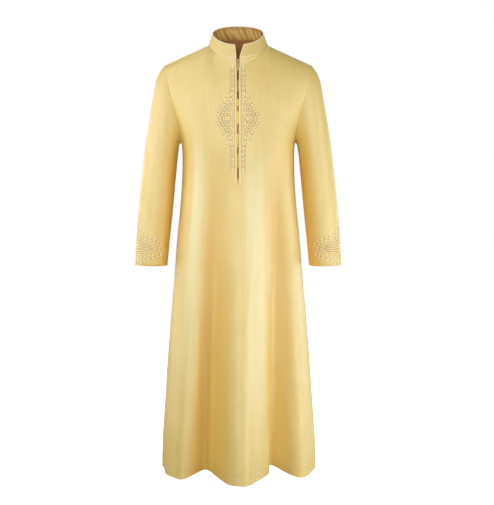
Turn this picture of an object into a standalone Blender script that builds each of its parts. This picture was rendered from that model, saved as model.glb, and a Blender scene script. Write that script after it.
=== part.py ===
"""Ankle-length thobe robe, open and filled out as it is worn.

Metres, +Z up.  The robe faces -Y and +X is the wearer's left.  The origin is the middle of the neck, level
with the neck ends of the shoulder seams, where the wearer's neck and shoulders carry the robe.

The cloth is one skin, worked out from tables of rings and cut into pieces along its seams.  Every size in
the tables is in millimetres.
"""

from collections import namedtuple
from math import cos, pi, radians, sin

import bmesh
import bpy
import numpy as np
from mathutils import Matrix, Vector

MM = 0.001

# ------------------------------------------------------------------ driving sizes, mm
CLOTH_WALL = 1.2
COLLAR_WALL = 2.4
SEAM_GAP = 0.3
COLLAR_SEAM_GAP = 0.3

ARMPIT_Z = -299.0
SHOULDER_POINT = (228.0, -5.0, -61.0)
NECK_POINT = (91.0, -16.0, 0.0)
HEM_Z = -1329.0
HEM_FRONT_DIP = 4.7
HEM_BACK_DIP = 4.0
HEM_RISE_IN_FOLD = 0.33

ARMHOLE_FRONT = 62.0
ARMHOLE_BACK = 66.0
RING_POWER = 2.25
NECK_END = 0.5
SHOULDER_CLOSING = 0.4
CLOSING_POWER = 3.0
MERGE_POWER = 1.5
CORNER_BLUR = 0.7
BLUR_STEPS = (-1.0, -0.5, 0.0, 0.5, 1.0)
AT_ARMPIT = 1e-6
AT_SHOULDER = 1e-15

NECK_CENTRE_Y = -16.0
NECK_BASE = {"half_width": 91.0, "half_depth": 79.0, "front_z": -40.0, "side_z": 0.0, "back_z": 24.0}
NECK_TOP = {"half_width": 78.5, "half_depth": 70.0, "front_z": -3.0, "side_z": 36.0, "back_z": 64.0}
COLLAR_GAP_LEFT_TURN = 13.5
COLLAR_GAP_RIGHT_TURN = 7.6

ZIP_BOTTOM_Z = -421.0
SLIT_IN_U = 1e-4
SLIT_HALF = 3.5
SLIT_HALF_AT_SLIDER = 4.6
SLIT_HALF_AT_NECK = 5.5
SLIT_SPREAD = 25.0
SLIDER_Z = -51.0

Ring = namedtuple("Ring", "z half_width front back")
BODY_RINGS = (
    Ring(-1345, 248, 192, 190),
    Ring(-1245, 245, 186, 184),
    Ring(-1115, 236, 178, 176),
    Ring(-985, 226.5, 169, 168),
    Ring(-857, 216, 160, 160),
    Ring(-729, 204, 150, 152),
    Ring(-602, 193.5, 141, 144),
    Ring(-477, 180, 134, 137),
    Ring(-383, 174, 131, 132),
    Ring(-299, 177, 131, 129),
    Ring(-237, 190, 130, 127),
    Ring(-187, 205, 127, 125),
    Ring(-137, 220, 121, 122),
    Ring(-87, 230, 114, 118),
    Ring(-40, 235, 110, 112),
)

ArmholePoint = namedtuple("ArmholePoint", "z x")
ARMHOLE = (
    ArmholePoint(-299, 177),
    ArmholePoint(-287, 177.5),
    ArmholePoint(-259, 180.5),
    ArmholePoint(-221, 188),
    ArmholePoint(-187, 196),
    ArmholePoint(-157, 204.5),
    ArmholePoint(-123, 213.5),
    ArmholePoint(-85, 221.5),
    ArmholePoint(-61, 228),
)

SleeveRing = namedtuple("SleeveRing", "inner_x inner_z outer_x outer_z centre_y half_depth")
SLEEVE_RINGS = (
    SleeveRing(177, -299, 228, -61, -3, 64),
    SleeveRing(180.5, -300.5, 243, -82, -3, 68),
    SleeveRing(183, -304.5, 252.5, -103, -3, 71),
    SleeveRing(184.5, -310, 258.5, -127, -3, 73),
    SleeveRing(185.5, -317, 264, -156, -3, 75),
    SleeveRing(187, -327, 270, -190, -4, 76),
    SleeveRing(189, -345, 276.5, -227, -5, 76),
    SleeveRing(191.5, -372, 284, -272, -7, 74),
    SleeveRing(195.5, -414, 292.5, -335, -10, 70),
    SleeveRing(200, -464, 301, -410, -14, 65),
    SleeveRing(205.5, -524, 309.5, -492, -18, 59),
    SleeveRing(213, -595, 316.5, -577, -23, 52),
    SleeveRing(221, -678, 322, -676, -28, 46),
)
ARMHOLE_FADES_AT_RING = 5.0

Fold = namedtuple("Fold", "name turn_at_top turn_at_hem top_z depth left right")
FOLDS = (
    Fold("left of centre", -24, -30.5, -299, -67, 16, 28.5),
    Fold("centre lobe", 4, 4.5, -600, 20, 18, 9),
    Fold("right of centre, broad", 43, 34.5, -299, -56, 31, 21),
    Fold("right of centre, steep", 33, 33, -760, -35, 8, 15.5),
    Fold("right side", 78, 74.5, -420, -4.5, 16, 16),
    Fold("left side", -82, -80, -420, -8, 16, 16),
    Fold("back, left of middle", 209, 213, -299, -54, 24, 22),
    Fold("back, middle", 180, 176, -420, -34, 18, 18),
    Fold("back, right of middle", 146, 142, -299, -58, 21, 26),
    Fold("back, far left", 246, 246, -620, -22, 18, 18),
)
FOLD_GROWTH = 1.0

# ------------------------------------------------------------------ how the pieces are divided
YOKE_STEPS = 10
SKIRT_ROWS = (0.0, 0.059, 0.118, 0.17, 0.23, 0.29, 0.36, 0.43, 0.50, 0.57, 0.64, 0.71, 0.78, 0.85, 0.91, 0.96,
              1.0)
SLIT_ROWS = 2
SHOULDER_STEPS = (0.5, 0.58, 0.67, 0.76, 0.84, 0.92, 1.0)
FRONT_STEPS = (0.07, 0.13, 0.19, 0.235, 0.27, 0.30, 0.33, 0.37, 0.43) + SHOULDER_STEPS
BACK_STEPS = (0.0, 0.08, 0.16, 0.24, 0.32, 0.39, 0.45) + SHOULDER_STEPS
SLEEVE_STEPS = 2 * YOKE_STEPS
SLIT_FIRST_ROW = len(SKIRT_ROWS) - 1 - SLIT_ROWS

# ------------------------------------------------------------------ zip sizes, mm
WELT_INSET = 0.2
WELT_WIDTH = 5.0
WELT_THICKNESS = 1.0
LAYER_GAP = 0.35
CHAIN_HALF = 2.3
CHAIN_DEPTH = (0.2, 2.4)
TAPE_DEPTH = (1.6, 2.3)
TAPE_INNER = 2.75
TAPE_OUTER = 14.0
CHAIN_TOP_Z = -58.5

SLIDER = {"width": 7.6, "length": 11.0, "thick": 1.6, "round": 0.6}
SLIDER_FOOT = {"width": 3.4, "length": 9.0, "depth": 2.4}
BRIDGE = {"length": 8.0, "rise": 3.9, "bar": 0.9, "width": 1.6}
JOIN_OVERLAP = 0.3
JOIN_INSET = 0.01
PULL = {"width": 6.4, "thick": 1.1, "length": 24.0, "eye_width": 3.2, "eye_length": 6.2, "round": 1.6}
PULL_AXIS_RISE = 1.6

# ------------------------------------------------------------------ colours (linear) and finishes
FINISHES = {
    "pale gold satin": {"colour": (0.79, 0.60, 0.27), "roughness": 0.50, "metallic": 0.0},
    "folded satin edge": {"colour": (0.84, 0.68, 0.38), "roughness": 0.45, "metallic": 0.0},
    "tan zip tape": {"colour": (0.56, 0.38, 0.13), "roughness": 0.80, "metallic": 0.0},
    "gold plated brass": {"colour": (0.62, 0.41, 0.14), "roughness": 0.32, "metallic": 1.0},
}


# ------------------------------------------------------------------ curves through the tables
def smooth(xs, ys, at):
    """A cubic curve through rows (xs, ys), read at any places."""
    xs, ys, at = (np.asarray(values, float) for values in (xs, ys, at))
    if xs[0] > xs[-1]:
        xs, ys = xs[::-1], ys[::-1]
    slopes = np.gradient(ys, xs)
    k = np.clip(np.searchsorted(xs, at) - 1, 0, len(xs) - 2)
    span = xs[k + 1] - xs[k]
    t = np.clip((at - xs[k]) / span, 0, 1)
    start = (1 + 2 * t) * (1 - t) ** 2 * ys[k] + t * (1 - t) ** 2 * span * slopes[k]
    end = t * t * (3 - 2 * t) * ys[k + 1] - t * t * (1 - t) * span * slopes[k + 1]
    return start + end


def column(table, name):
    return [getattr(row, name) for row in table]


def ring_depth(side, z):
    return smooth(column(BODY_RINGS, "z"), column(BODY_RINGS, side), z)


def neck_curve(size, turn):
    """A tilted oval round the neck.  Turn runs from the front, 0, past the wearer's left, pi / 2."""
    fall = (size["back_z"] - size["front_z"]) / 2
    middle = (size["back_z"] + size["front_z"]) / 2
    level, bend = (middle + size["side_z"]) / 2, (middle - size["side_z"]) / 2
    x = size["half_width"] * np.sin(turn)
    y = NECK_CENTRE_Y - size["half_depth"] * np.cos(turn)
    z = level - fall * np.cos(turn) + bend * np.cos(2 * turn)
    return x, y, z


# ------------------------------------------------------------------ the body's skin
def fold_depth(turn, z):
    """How far the folds push the skirt out (+) or in (-), by degrees round the body and height."""
    total = np.zeros(np.broadcast(turn, z).shape)
    for fold in FOLDS:
        growth = np.clip((fold.top_z - z) / (fold.top_z - HEM_Z), 0, 1)
        centre = fold.turn_at_top + (fold.turn_at_hem - fold.turn_at_top) * growth
        away = (turn - centre + 180) % 360 - 180
        reach = np.where(away < 0, fold.left, fold.right)
        bell = np.where(abs(away) < reach, (1 + np.cos(pi * away / reach)) / 2, 0)
        total = total + fold.depth * growth ** FOLD_GROWTH * bell
    return total


def round_turn(side, angle):
    """Degrees round the whole body for an angle (radians) across the front or the back."""
    across = np.degrees(angle)
    return across if side == "front" else 180 - across


def skirt_points(side, u, down):
    """Points below the armpits: u across from -1 to 1, down from the armpits, 0, to the hem, 1."""
    sign = -1 if side == "front" else 1
    angle = u * pi / 2
    turn = round_turn(side, angle)
    dip = HEM_FRONT_DIP if side == "front" else HEM_BACK_DIP
    hem = HEM_Z - dip * np.cos(angle) - HEM_RISE_IN_FOLD * np.minimum(fold_depth(turn, HEM_Z), 0)
    z = ARMPIT_Z + (hem - ARMPIT_Z) * down
    half = smooth(column(BODY_RINGS, "z"), column(BODY_RINGS, "half_width"), z)
    depth = ring_depth(side, z)
    across = np.sin(angle)
    x = half * across
    y = sign * depth * (1 - abs(across) ** RING_POWER) ** (1 / RING_POWER)
    out_x = np.sign(across) * abs(across) ** (RING_POWER - 1) / half
    out_y = sign * (1 - abs(across) ** RING_POWER) ** (1 - 1 / RING_POWER) / depth
    length = np.hypot(out_x, out_y)
    push = fold_depth(turn, z)
    return np.stack([x + push * out_x / length, y + push * out_y / length, z], -1)


def yoke_top(side, u):
    """The top edge of a panel: the neckline out to NECK_END on each side, then the shoulder seam.

    The last value says how fast the panel closes on that edge, from 1 at the middle of the neck.
    """
    size = abs(u)
    on_neck = size < NECK_END
    turn = np.minimum(size / NECK_END, 1) * pi / 2
    neck = neck_curve(NECK_BASE, turn if side == "front" else pi - turn)
    along = np.clip((size - NECK_END) / (1 - NECK_END), 0, 1)
    seam = [a + (b - a) * along for a, b in zip(NECK_POINT, SHOULDER_POINT)]
    x, y, z = (np.where(on_neck, a, b) for a, b in zip(neck, seam))
    closing = 1 - (1 - SHOULDER_CLOSING) * np.where(on_neck, np.sin(turn) ** 2, 1)
    return np.stack([x * np.sign(u), y, z, closing])


def yoke_points(side, u, up):
    """Points above the armpits: u across from -1 to 1, up from the armpits, 0, to the top edge, 1."""
    sign = -1 if side == "front" else 1
    armhole_depth = ARMHOLE_FRONT if side == "front" else ARMHOLE_BACK
    shoulder_x, shoulder_y, shoulder_z = SHOULDER_POINT
    edge_z = ARMPIT_Z + (shoulder_z - ARMPIT_Z) * up
    edge_x = smooth(column(ARMHOLE, "z"), column(ARMHOLE, "x"), edge_z)
    edge_y = shoulder_y * up + sign * armhole_depth * 2 * np.sqrt(up * (1 - up))
    depth = ring_depth(side, edge_z)

    left_to_close = np.maximum(1 - up ** CLOSING_POWER, AT_SHOULDER)
    ring_y = np.clip(sign * ((edge_y - shoulder_y) / left_to_close ** SHOULDER_CLOSING + shoulder_y), 0, None)
    ring_y = np.where(up < AT_ARMPIT, 0, ring_y)
    half = edge_x / (1 - (ring_y / depth) ** RING_POWER) ** (1 / RING_POWER)
    edge_angle = np.arcsin(np.clip(edge_x / half, 0, 1))

    blur = CORNER_BLUR * (1 - abs(u)) * np.sqrt(1 - up)
    blurred = [yoke_top(side, u + blur * step) for step in BLUR_STEPS]
    top_x, top_y, top_z, closing = sum(blurred) / len(BLUR_STEPS)
    merge = up ** MERGE_POWER
    ring_x = half * np.sin(u * edge_angle)
    x = (1 - merge) * ring_x + merge * top_x * edge_x / shoulder_x
    ring = sign * depth * (1 - np.clip(abs(ring_x / half), 0, 1) ** RING_POWER) ** (1 / RING_POWER)
    y = top_y + (ring - top_y) * left_to_close ** closing
    z = edge_z + merge * (top_z - shoulder_z)
    y = np.where(up < AT_ARMPIT, ring, y)
    return np.stack(np.broadcast_arrays(x, y, z), -1)


def slit_half(z):
    rows = ((ZIP_BOTTOM_Z, SLIT_HALF), (SLIDER_Z - SLIT_SPREAD, SLIT_HALF), (SLIDER_Z, SLIT_HALF_AT_SLIDER),
            (NECK_BASE["front_z"], SLIT_HALF_AT_NECK))
    return np.interp(z, [row[0] for row in rows], [row[1] for row in rows])


def panel_grid(side, steps):
    """Rows from the hem to the top edge, columns from the wearer's right to left."""
    right = np.array([u for u in steps if u > 0])
    middle = [-SLIT_IN_U, SLIT_IN_U] if side == "front" else [0.0]
    u = np.concatenate([-right[::-1], middle, right])
    ups = (1 - np.cos(pi * np.arange(1, YOKE_STEPS + 1) / YOKE_STEPS)) / 2
    skirt = [skirt_points(side, u, down) for down in reversed(SKIRT_ROWS)]
    yoke = [yoke_points(side, u, up) for up in ups]
    grid = np.array(skirt + yoke)
    if side == "front":
        left = len(right)
        grid[:, left, 0] = -slit_half(grid[:, left, 2])
        grid[:, left + 1, 0] = slit_half(grid[:, left + 1, 2])
    return grid


# ------------------------------------------------------------------ sleeves and collar
def armhole_loop(psi):
    """The armhole, from the shoulder point (0) down the front to the armpit (pi) and up the back."""
    up = (1 + np.cos(psi)) / 2
    front = yoke_points("front", np.ones_like(up), up)
    back = yoke_points("back", np.ones_like(up), up)
    return np.where((psi <= pi)[:, None], front, back)


def sleeve_grid():
    """Rings from the armhole to the cuff of the sleeve at +X."""
    psi = 2 * pi * np.arange(SLEEVE_STEPS) / SLEEVE_STEPS
    rings = []
    for ring in SLEEVE_RINGS:
        outer = np.array([ring.outer_x, ring.centre_y, ring.outer_z])
        inner = np.array([ring.inner_x, ring.centre_y, ring.inner_z])
        middle, arm = (outer + inner) / 2, (outer - inner) / 2
        points = middle + np.cos(psi)[:, None] * arm
        points[:, 1] -= ring.half_depth * np.sin(psi)
        rings.append(points)
    armhole = armhole_loop(psi)
    bend = armhole - rings[0]
    for k, points in enumerate(rings):
        points += bend * max(0, 1 - k / ARMHOLE_FADES_AT_RING) ** 2
    rings[0] = armhole
    return np.array(rings)


def collar_grid(front, back):
    """Two rows, neckline and top, from the wearer's left front edge round the back to the right one."""
    front_left = front[-1, len(FRONT_STEPS) + 1:len(FRONT_STEPS) + 1 + neck_columns(FRONT_STEPS) + 1]
    front_right = front[-1, len(FRONT_STEPS) - neck_columns(FRONT_STEPS):len(FRONT_STEPS) + 1]
    middle = len([u for u in BACK_STEPS if u > 0])
    reach = neck_columns(BACK_STEPS)
    back_part = back[-1, middle - reach:middle + reach + 1][::-1]
    base = np.concatenate([front_left, back_part[1:-1], front_right])

    width, depth = NECK_BASE["half_width"], NECK_BASE["half_depth"]
    turn = np.arctan2(base[:, 0] / width, (NECK_CENTRE_Y - base[:, 1]) / depth) % (2 * pi)
    first, last = turn[0], turn[-1]
    top_first, top_last = radians(COLLAR_GAP_LEFT_TURN), 2 * pi - radians(COLLAR_GAP_RIGHT_TURN)
    even = top_first + (turn - first) * (top_last - top_first) / (last - first)
    top = np.stack(neck_curve(NECK_TOP, even), -1)
    return np.array([base, (base + top) / 2, top])


def neck_columns(steps):
    return len([u for u in steps if 0 < u <= NECK_END])


# ------------------------------------------------------------------ from skin to walls
RIM_ORDER = Vector((0.31, 0.52, 0.79))


def shared_normals(grids, closed):
    """Outward directions at every point, the same for all pieces that meet there."""
    sums = {}
    keyed = []
    for grid, is_ring in zip(grids, closed):
        points = np.concatenate([grid, grid[:, :1]], 1) if is_ring else grid
        a, b, c, d = points[:-1, :-1], points[:-1, 1:], points[1:, 1:], points[1:, :-1]
        facing = np.cross(c - a, d - b)
        facing /= np.linalg.norm(facing, axis=-1, keepdims=True)
        keys = [[tuple(np.round(p, 3) + 0.0) for p in row] for row in points]
        for i in range(facing.shape[0]):
            for j in range(facing.shape[1]):
                for key in (keys[i][j], keys[i][j + 1], keys[i + 1][j + 1], keys[i + 1][j]):
                    sums[key] = sums.get(key, 0) + facing[i, j]
        keyed.append([row[:grid.shape[1]] for row in keys])
    result = []
    for keys in keyed:
        normals = np.array([[sums[key] for key in row] for row in keys])
        result.append(normals / np.linalg.norm(normals, axis=-1, keepdims=True))
    return result


def pulled_back(outer, edges, gap):
    """The grid with the named edges drawn in by half a seam gap."""
    grid = outer.copy()
    for edge in edges:
        rim, nearby = {"first_row": (np.s_[0], np.s_[1]), "last_row": (np.s_[-1], np.s_[-2]),
                       "first_column": (np.s_[:, 0], np.s_[:, 1]),
                       "last_column": (np.s_[:, -1], np.s_[:, -2])}[edge]
        inward = outer[nearby] - outer[rim]
        grid[rim] += inward / np.linalg.norm(inward, axis=-1, keepdims=True) * gap / 2
    return grid


def wall_mesh(outer, inner, is_ring=False, skip=()):
    """A closed wall between two grids of points; skip names the cells that are left open.

    A rim is cut into triangles along the same diagonals on both sides of a seam, so the seam's gap is even.
    """
    rows, columns = outer.shape[:2]
    mesh = bmesh.new()
    skins = []
    for grid in (outer, inner):
        skins.append([[mesh.verts.new(Vector(p) * MM) for p in row] for row in grid.tolist()])
    cells = [(i, j) for i in range(rows - 1) for j in range(columns if is_ring else columns - 1)
             if (i, j) not in skip]
    for skin, flip in zip(skins, (False, True)):
        for i, j in cells:
            k = (j + 1) % columns
            corners = [skin[i][j], skin[i][k], skin[i + 1][k], skin[i + 1][j]]
            mesh.faces.new(corners[::-1] if flip else corners)
    rims = [edge for edge in mesh.edges if edge.is_boundary]
    twin = {a: b for front_row, back_row in zip(*skins) for a, b in zip(front_row, back_row)}
    for edge in rims:
        if edge.verts[0] in twin:
            a, b = edge.link_loops[0].vert, edge.link_loops[0].link_loop_next.vert
            if a.co.dot(RIM_ORDER) < b.co.dot(RIM_ORDER):
                triangles = ([b, a, twin[b]], [a, twin[a], twin[b]])
            else:
                triangles = ([b, a, twin[a]], [b, twin[a], twin[b]])
            for corners in triangles:
                mesh.faces.new(corners)
    return mesh


# ------------------------------------------------------------------ objects
def finish_of(name):
    material = bpy.data.materials.get(name)
    if material is None:
        material = bpy.data.materials.new(name)
        material.use_nodes = True
        shader = material.node_tree.nodes["Principled BSDF"]
        values = FINISHES[name]
        shader.inputs["Base Color"].default_value = (*values["colour"], 1)
        shader.inputs["Roughness"].default_value = values["roughness"]
        shader.inputs["Metallic"].default_value = values["metallic"]
    return material


def add_object(name, mesh, finish, collection, smooth_angle=50):
    data = bpy.data.meshes.new(name)
    mesh.to_mesh(data)
    mesh.free()
    data.shade_smooth()
    data.set_sharp_from_angle(angle=radians(smooth_angle))
    thing = bpy.data.objects.new(name, data)
    thing.data.materials.append(finish_of(finish))
    collection.objects.link(thing)
    return thing


def clear_scene():
    for thing in list(bpy.data.objects):
        bpy.data.objects.remove(thing)


def build_cloth(collection):
    """Front, back, sleeves and collar; returns the front's points and normals for the zip."""
    front = panel_grid("front", FRONT_STEPS)
    back = panel_grid("back", BACK_STEPS)[:, ::-1]
    sleeve = sleeve_grid()
    other_sleeve = sleeve[:, ::-1] * (-1, 1, 1)
    collar = collar_grid(front, back[:, ::-1])
    grids = [front, back, sleeve, other_sleeve, collar]
    normals = shared_normals(grids, (False, False, True, True, False))

    slit = len(FRONT_STEPS)
    top_row = len(front) - 1
    slit_cells = {(i, slit) for i in range(SLIT_FIRST_ROW, top_row)}
    plans = (
        ("front_panel", 0, ("last_row", "first_column", "last_column"), CLOTH_WALL, slit_cells),
        ("back_panel", 1, ("last_row", "first_column", "last_column"), CLOTH_WALL, ()),
        ("sleeve_left", 2, ("first_row",), CLOTH_WALL, ()),
        ("sleeve_right", 3, ("first_row",), CLOTH_WALL, ()),
        ("collar", 4, ("first_row",), COLLAR_WALL, ()),
    )
    for name, k, edges, wall, skip in plans:
        outer = pulled_back(grids[k], edges, COLLAR_SEAM_GAP if name == "collar" else SEAM_GAP)
        own = shared_normals([grids[k]], ("sleeve" in name,))[0]
        inner = outer - normals[k] * CLOTH_WALL - own * (wall - CLOTH_WALL)
        mesh = wall_mesh(outer, inner, "sleeve" in name, skip)
        add_object(name, mesh, "pale gold satin", collection)
    return front, normals[0]


# ------------------------------------------------------------------ zip
def zip_paths(front, normals):
    """The two slit edges with their outward normals, and the way across the cloth, from the zip's end up."""
    slit = len(FRONT_STEPS)
    rows = np.s_[SLIT_FIRST_ROW:]
    paths = {}
    for name, edge, nearby in (("right", slit, slit - 1), ("left", slit + 1, slit + 2)):
        points, across = front[rows, edge].copy(), front[rows, nearby] - front[rows, edge]
        across /= np.linalg.norm(across, axis=-1, keepdims=True)
        points[0, 2] += LAYER_GAP
        points[-1] += (points[-2] - points[-1]) * LAYER_GAP / np.linalg.norm(points[-2] - points[-1])
        paths[name] = {"points": points, "across": across, "normals": normals[rows, edge]}
    return paths


def strip_mesh(path, near, far, outer_depth, inner_depth):
    """A flat strip beside the slit, from near to far across the cloth, at two depths under its face."""
    edges = [path["points"] + path["across"] * reach for reach in (near, far)]
    if path["across"][0, 0] < 0:
        edges.reverse()
    band = np.stack(edges, 1)
    out = path["normals"][:, None]
    return wall_mesh(band - out * outer_depth, band - out * inner_depth)


def chain_mesh(paths):
    middle = (paths["left"]["points"] + paths["right"]["points"]) / 2
    out = paths["left"]["normals"] * (0, 1, 1)
    out /= np.linalg.norm(out, axis=-1, keepdims=True)
    below = middle[:, 2] < CHAIN_TOP_Z
    k = int(below.sum())
    part = (CHAIN_TOP_Z - middle[k - 1, 2]) / (middle[k, 2] - middle[k - 1, 2])
    last = middle[k - 1] + (middle[k] - middle[k - 1]) * part
    line = np.concatenate([middle[:k], last[None]])
    out = out[:k + 1]
    band = np.stack([line - (CHAIN_HALF, 0, 0), line + (CHAIN_HALF, 0, 0)], 1)
    outer_depth, inner_depth = CHAIN_DEPTH
    return wall_mesh(band - out[:, None] * outer_depth, band - out[:, None] * inner_depth)


def slider_frame(paths):
    """Columns: across, up along the cloth, out from it, and the slider's middle on the cloth's face."""
    middle = (paths["left"]["points"] + paths["right"]["points"]) / 2
    k = int((middle[:, 2] < SLIDER_Z).sum())
    up = Vector(middle[k] - middle[k - 1]).normalized()
    part = (SLIDER_Z - middle[k - 1, 2]) / (middle[k, 2] - middle[k - 1, 2])
    place = Vector(middle[k - 1] + (middle[k] - middle[k - 1]) * part) * MM
    across = Vector((1, 0, 0))
    frame = Matrix((across, up, across.cross(up))).transposed().to_4x4()
    frame.translation = place
    return frame


def add_box(name, size, centre, collection, rounding=0.0):
    """A box in a frame of millimetres: size and centre run across, up and out."""
    mesh = bmesh.new()
    bmesh.ops.create_cube(mesh, size=1)
    bmesh.ops.scale(mesh, vec=Vector(size) * MM, verts=mesh.verts)
    bmesh.ops.translate(mesh, vec=Vector(centre) * MM, verts=mesh.verts)
    thing = add_object(name, mesh, "gold plated brass", collection, smooth_angle=30)
    if rounding:
        bevel = thing.modifiers.new("rounded edges", "BEVEL")
        bevel.width = rounding * MM
        bevel.segments = 2
    return thing


def add_slider(frame, collection, tools):
    thick, foot = SLIDER["thick"], SLIDER_FOOT["depth"] + JOIN_OVERLAP
    bar, width, reach = BRIDGE["bar"], BRIDGE["width"], BRIDGE["length"] / 2 - BRIDGE["bar"] / 2
    leg_size = (width, bar, BRIDGE["rise"] + JOIN_OVERLAP)
    leg_middle = thick + (BRIDGE["rise"] - JOIN_OVERLAP) / 2
    bar_size = (width - 2 * JOIN_INSET, BRIDGE["length"] - 2 * JOIN_INSET, bar)
    slider = add_box("zip_slider", (SLIDER["width"], SLIDER["length"], thick), (0, 0, thick / 2), collection,
                     SLIDER["round"])
    additions = (
        ("slider_foot", (SLIDER_FOOT["width"], SLIDER_FOOT["length"], foot), (0, 0, JOIN_OVERLAP - foot / 2)),
        ("bridge_upper_leg", leg_size, (0, reach, leg_middle)),
        ("bridge_lower_leg", leg_size, (0, -reach, leg_middle)),
        ("bridge_bar", bar_size, (0, 0, thick + BRIDGE["rise"] - bar / 2 - JOIN_INSET)),
    )
    for name, size, centre in additions:
        tool = add_box(name, size, centre, tools)
        tool.hide_render = True
        tool.display_type = "WIRE"
        tool.matrix_world = frame
        joined = slider.modifiers.new(name, "BOOLEAN")
        joined.operation = "UNION"
        joined.object = tool
    slider.matrix_world = frame
    return slider


def rounded_outline(curve, half_width, low, high, radius, points_a_corner=4):
    """A closed spline in a curve's plane: a rectangle with round corners."""
    corners = ((half_width - radius, high - radius, 0), (-half_width + radius, high - radius, 90),
               (-half_width + radius, low + radius, 180), (half_width - radius, low + radius, 270))
    spline = curve.splines.new("POLY")
    places = []
    for x, y, start in corners:
        for k in range(points_a_corner):
            angle = radians(start + 90 * k / (points_a_corner - 1))
            places.append((x + radius * cos(angle), y + radius * sin(angle)))
    spline.points.add(len(places) - 1)
    for point, (x, y) in zip(spline.points, places):
        point.co = (x * MM, y * MM, 0, 1)
    spline.use_cyclic_u = True


def add_pull(frame, collection):
    """A flat pull with an eye at its top.  Its origin is on the joint's axis, in the eye's upper bar."""
    curve = bpy.data.curves.new("pull_outline", "CURVE")
    curve.dimensions = "2D"
    curve.fill_mode = "BOTH"
    curve.extrude = PULL["thick"] / 2 * MM
    top = PULL["thick"] / 2
    rounded_outline(curve, PULL["width"] / 2, top - PULL["length"], top, PULL["round"])
    rounded_outline(curve, PULL["eye_width"] / 2, -top - PULL["eye_length"], -top, PULL["round"] / 2)
    outline = bpy.data.objects.new("pull_outline", curve)
    collection.objects.link(outline)
    flat = outline.evaluated_get(bpy.context.evaluated_depsgraph_get())
    mesh = bmesh.new()
    mesh.from_mesh(bpy.data.meshes.new_from_object(flat))
    bpy.data.objects.remove(outline)
    bmesh.ops.remove_doubles(mesh, verts=mesh.verts, dist=0.00001)
    pull = add_object("pull_tab", mesh, "gold plated brass", collection, smooth_angle=30)
    rise = SLIDER["thick"] + PULL_AXIS_RISE
    pull.matrix_world = frame @ Matrix.Translation((0, 0, rise * MM))
    return pull


def build_zip(front, normals, collection, tools):
    paths = zip_paths(front, normals)
    tape_near = -(SLIT_HALF - TAPE_INNER)
    for side, path in paths.items():
        welt = strip_mesh(path, WELT_INSET, WELT_INSET + WELT_WIDTH, -LAYER_GAP - WELT_THICKNESS, -LAYER_GAP)
        add_object("welt_" + side, welt, "folded satin edge", collection)
        tape = strip_mesh(path, tape_near, TAPE_OUTER - SLIT_HALF, *TAPE_DEPTH)
        add_object("zip_tape_" + side, tape, "tan zip tape", collection)
    add_object("zip_chain", chain_mesh(paths), "gold plated brass", collection)
    frame = slider_frame(paths)
    add_slider(frame, collection, tools)
    add_pull(frame, collection)


def main():
    clear_scene()
    robe = bpy.data.collections.new("thobe_robe")
    tools = bpy.data.collections.new("cutters")
    for collection in (robe, tools):
        bpy.context.scene.collection.children.link(collection)
    front, normals = build_cloth(robe)
    build_zip(front, normals, robe, tools)


main()
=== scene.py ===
from math import cos, pi, radians, sin

import bpy
import numpy as np
from mathutils import Matrix, Vector
from mathutils.bvhtree import BVHTree


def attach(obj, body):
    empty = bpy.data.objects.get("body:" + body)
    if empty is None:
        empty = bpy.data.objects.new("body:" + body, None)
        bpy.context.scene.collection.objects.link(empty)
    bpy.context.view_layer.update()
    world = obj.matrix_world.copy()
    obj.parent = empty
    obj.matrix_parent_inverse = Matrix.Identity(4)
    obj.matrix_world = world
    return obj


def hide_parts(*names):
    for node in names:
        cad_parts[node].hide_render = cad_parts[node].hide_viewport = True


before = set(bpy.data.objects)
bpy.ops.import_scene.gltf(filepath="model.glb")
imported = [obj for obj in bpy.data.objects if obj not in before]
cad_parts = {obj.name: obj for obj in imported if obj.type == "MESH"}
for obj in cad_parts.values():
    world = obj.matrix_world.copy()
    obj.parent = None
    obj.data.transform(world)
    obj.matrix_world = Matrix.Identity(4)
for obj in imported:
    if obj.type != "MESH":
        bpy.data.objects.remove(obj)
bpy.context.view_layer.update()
mm = 0.001
print("frame loaded")

# Camera: chest high, looking a little down at the whole robe
camera = {"place": (0.0274, -3.6, -0.287), "aim": (0.0274, 0, -0.642), "lens": 81.866}
# Soft square lights: ring, degrees round the robe, degrees up from level, strength.
# Each ring: distance, side, height aimed at, watts
lights = {
    "rings": {"far": (3.2, 1.2, -0.6, 40), "near": (1.7, 0.8, -0.35, 12), "low": (1.5, 0.7, -1.05, 12)},
    "places": [
        ("far", 0, 18, 0.719), ("near", -70, 5, 0.646), ("far", -28, 18, 0.380), ("low", 55, 0, 0.367),
        ("far", 122, -12, 0.313), ("far", 80, 18, 0.295), ("low", -110, 0, 0.261),
        ("far", 55, -12, 0.250), ("far", -55, 50, 0.249), ("far", -105, 18, 0.204),
        ("far", 55, 18, 0.202), ("far", -80, 50, 0.189), ("near", 70, 5, 0.164), ("far", 0, -12, 0.145),
        ("far", 105, -12, 0.137), ("far", -122, 18, 0.135), ("low", -25, 0, 0.127),
        ("far", -80, 18, 0.126), ("far", 28, -12, 0.109), ("low", 85, 0, 0.108), ("far", 80, -12, 0.051),
        ("far", 180, 20, 0.500), ("far", 180, 60, 0.400), ("low", 180, 5, 0.400),
        ("far", 140, 5, 0.350), ("far", -140, 5, 0.350),
    ],
}
studio = {"floorZ": -1.47, "floorSide": 24, "domeRadius": 14}


# Colours and nodes
def hexColour(text):
    parts = [int(text[k:k + 2], 16) / 255 for k in (0, 2, 4)]
    return [p / 12.92 if p <= 0.04045 else ((p + 0.055) / 1.055) ** 2.4 for p in parts] + [1]


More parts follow.
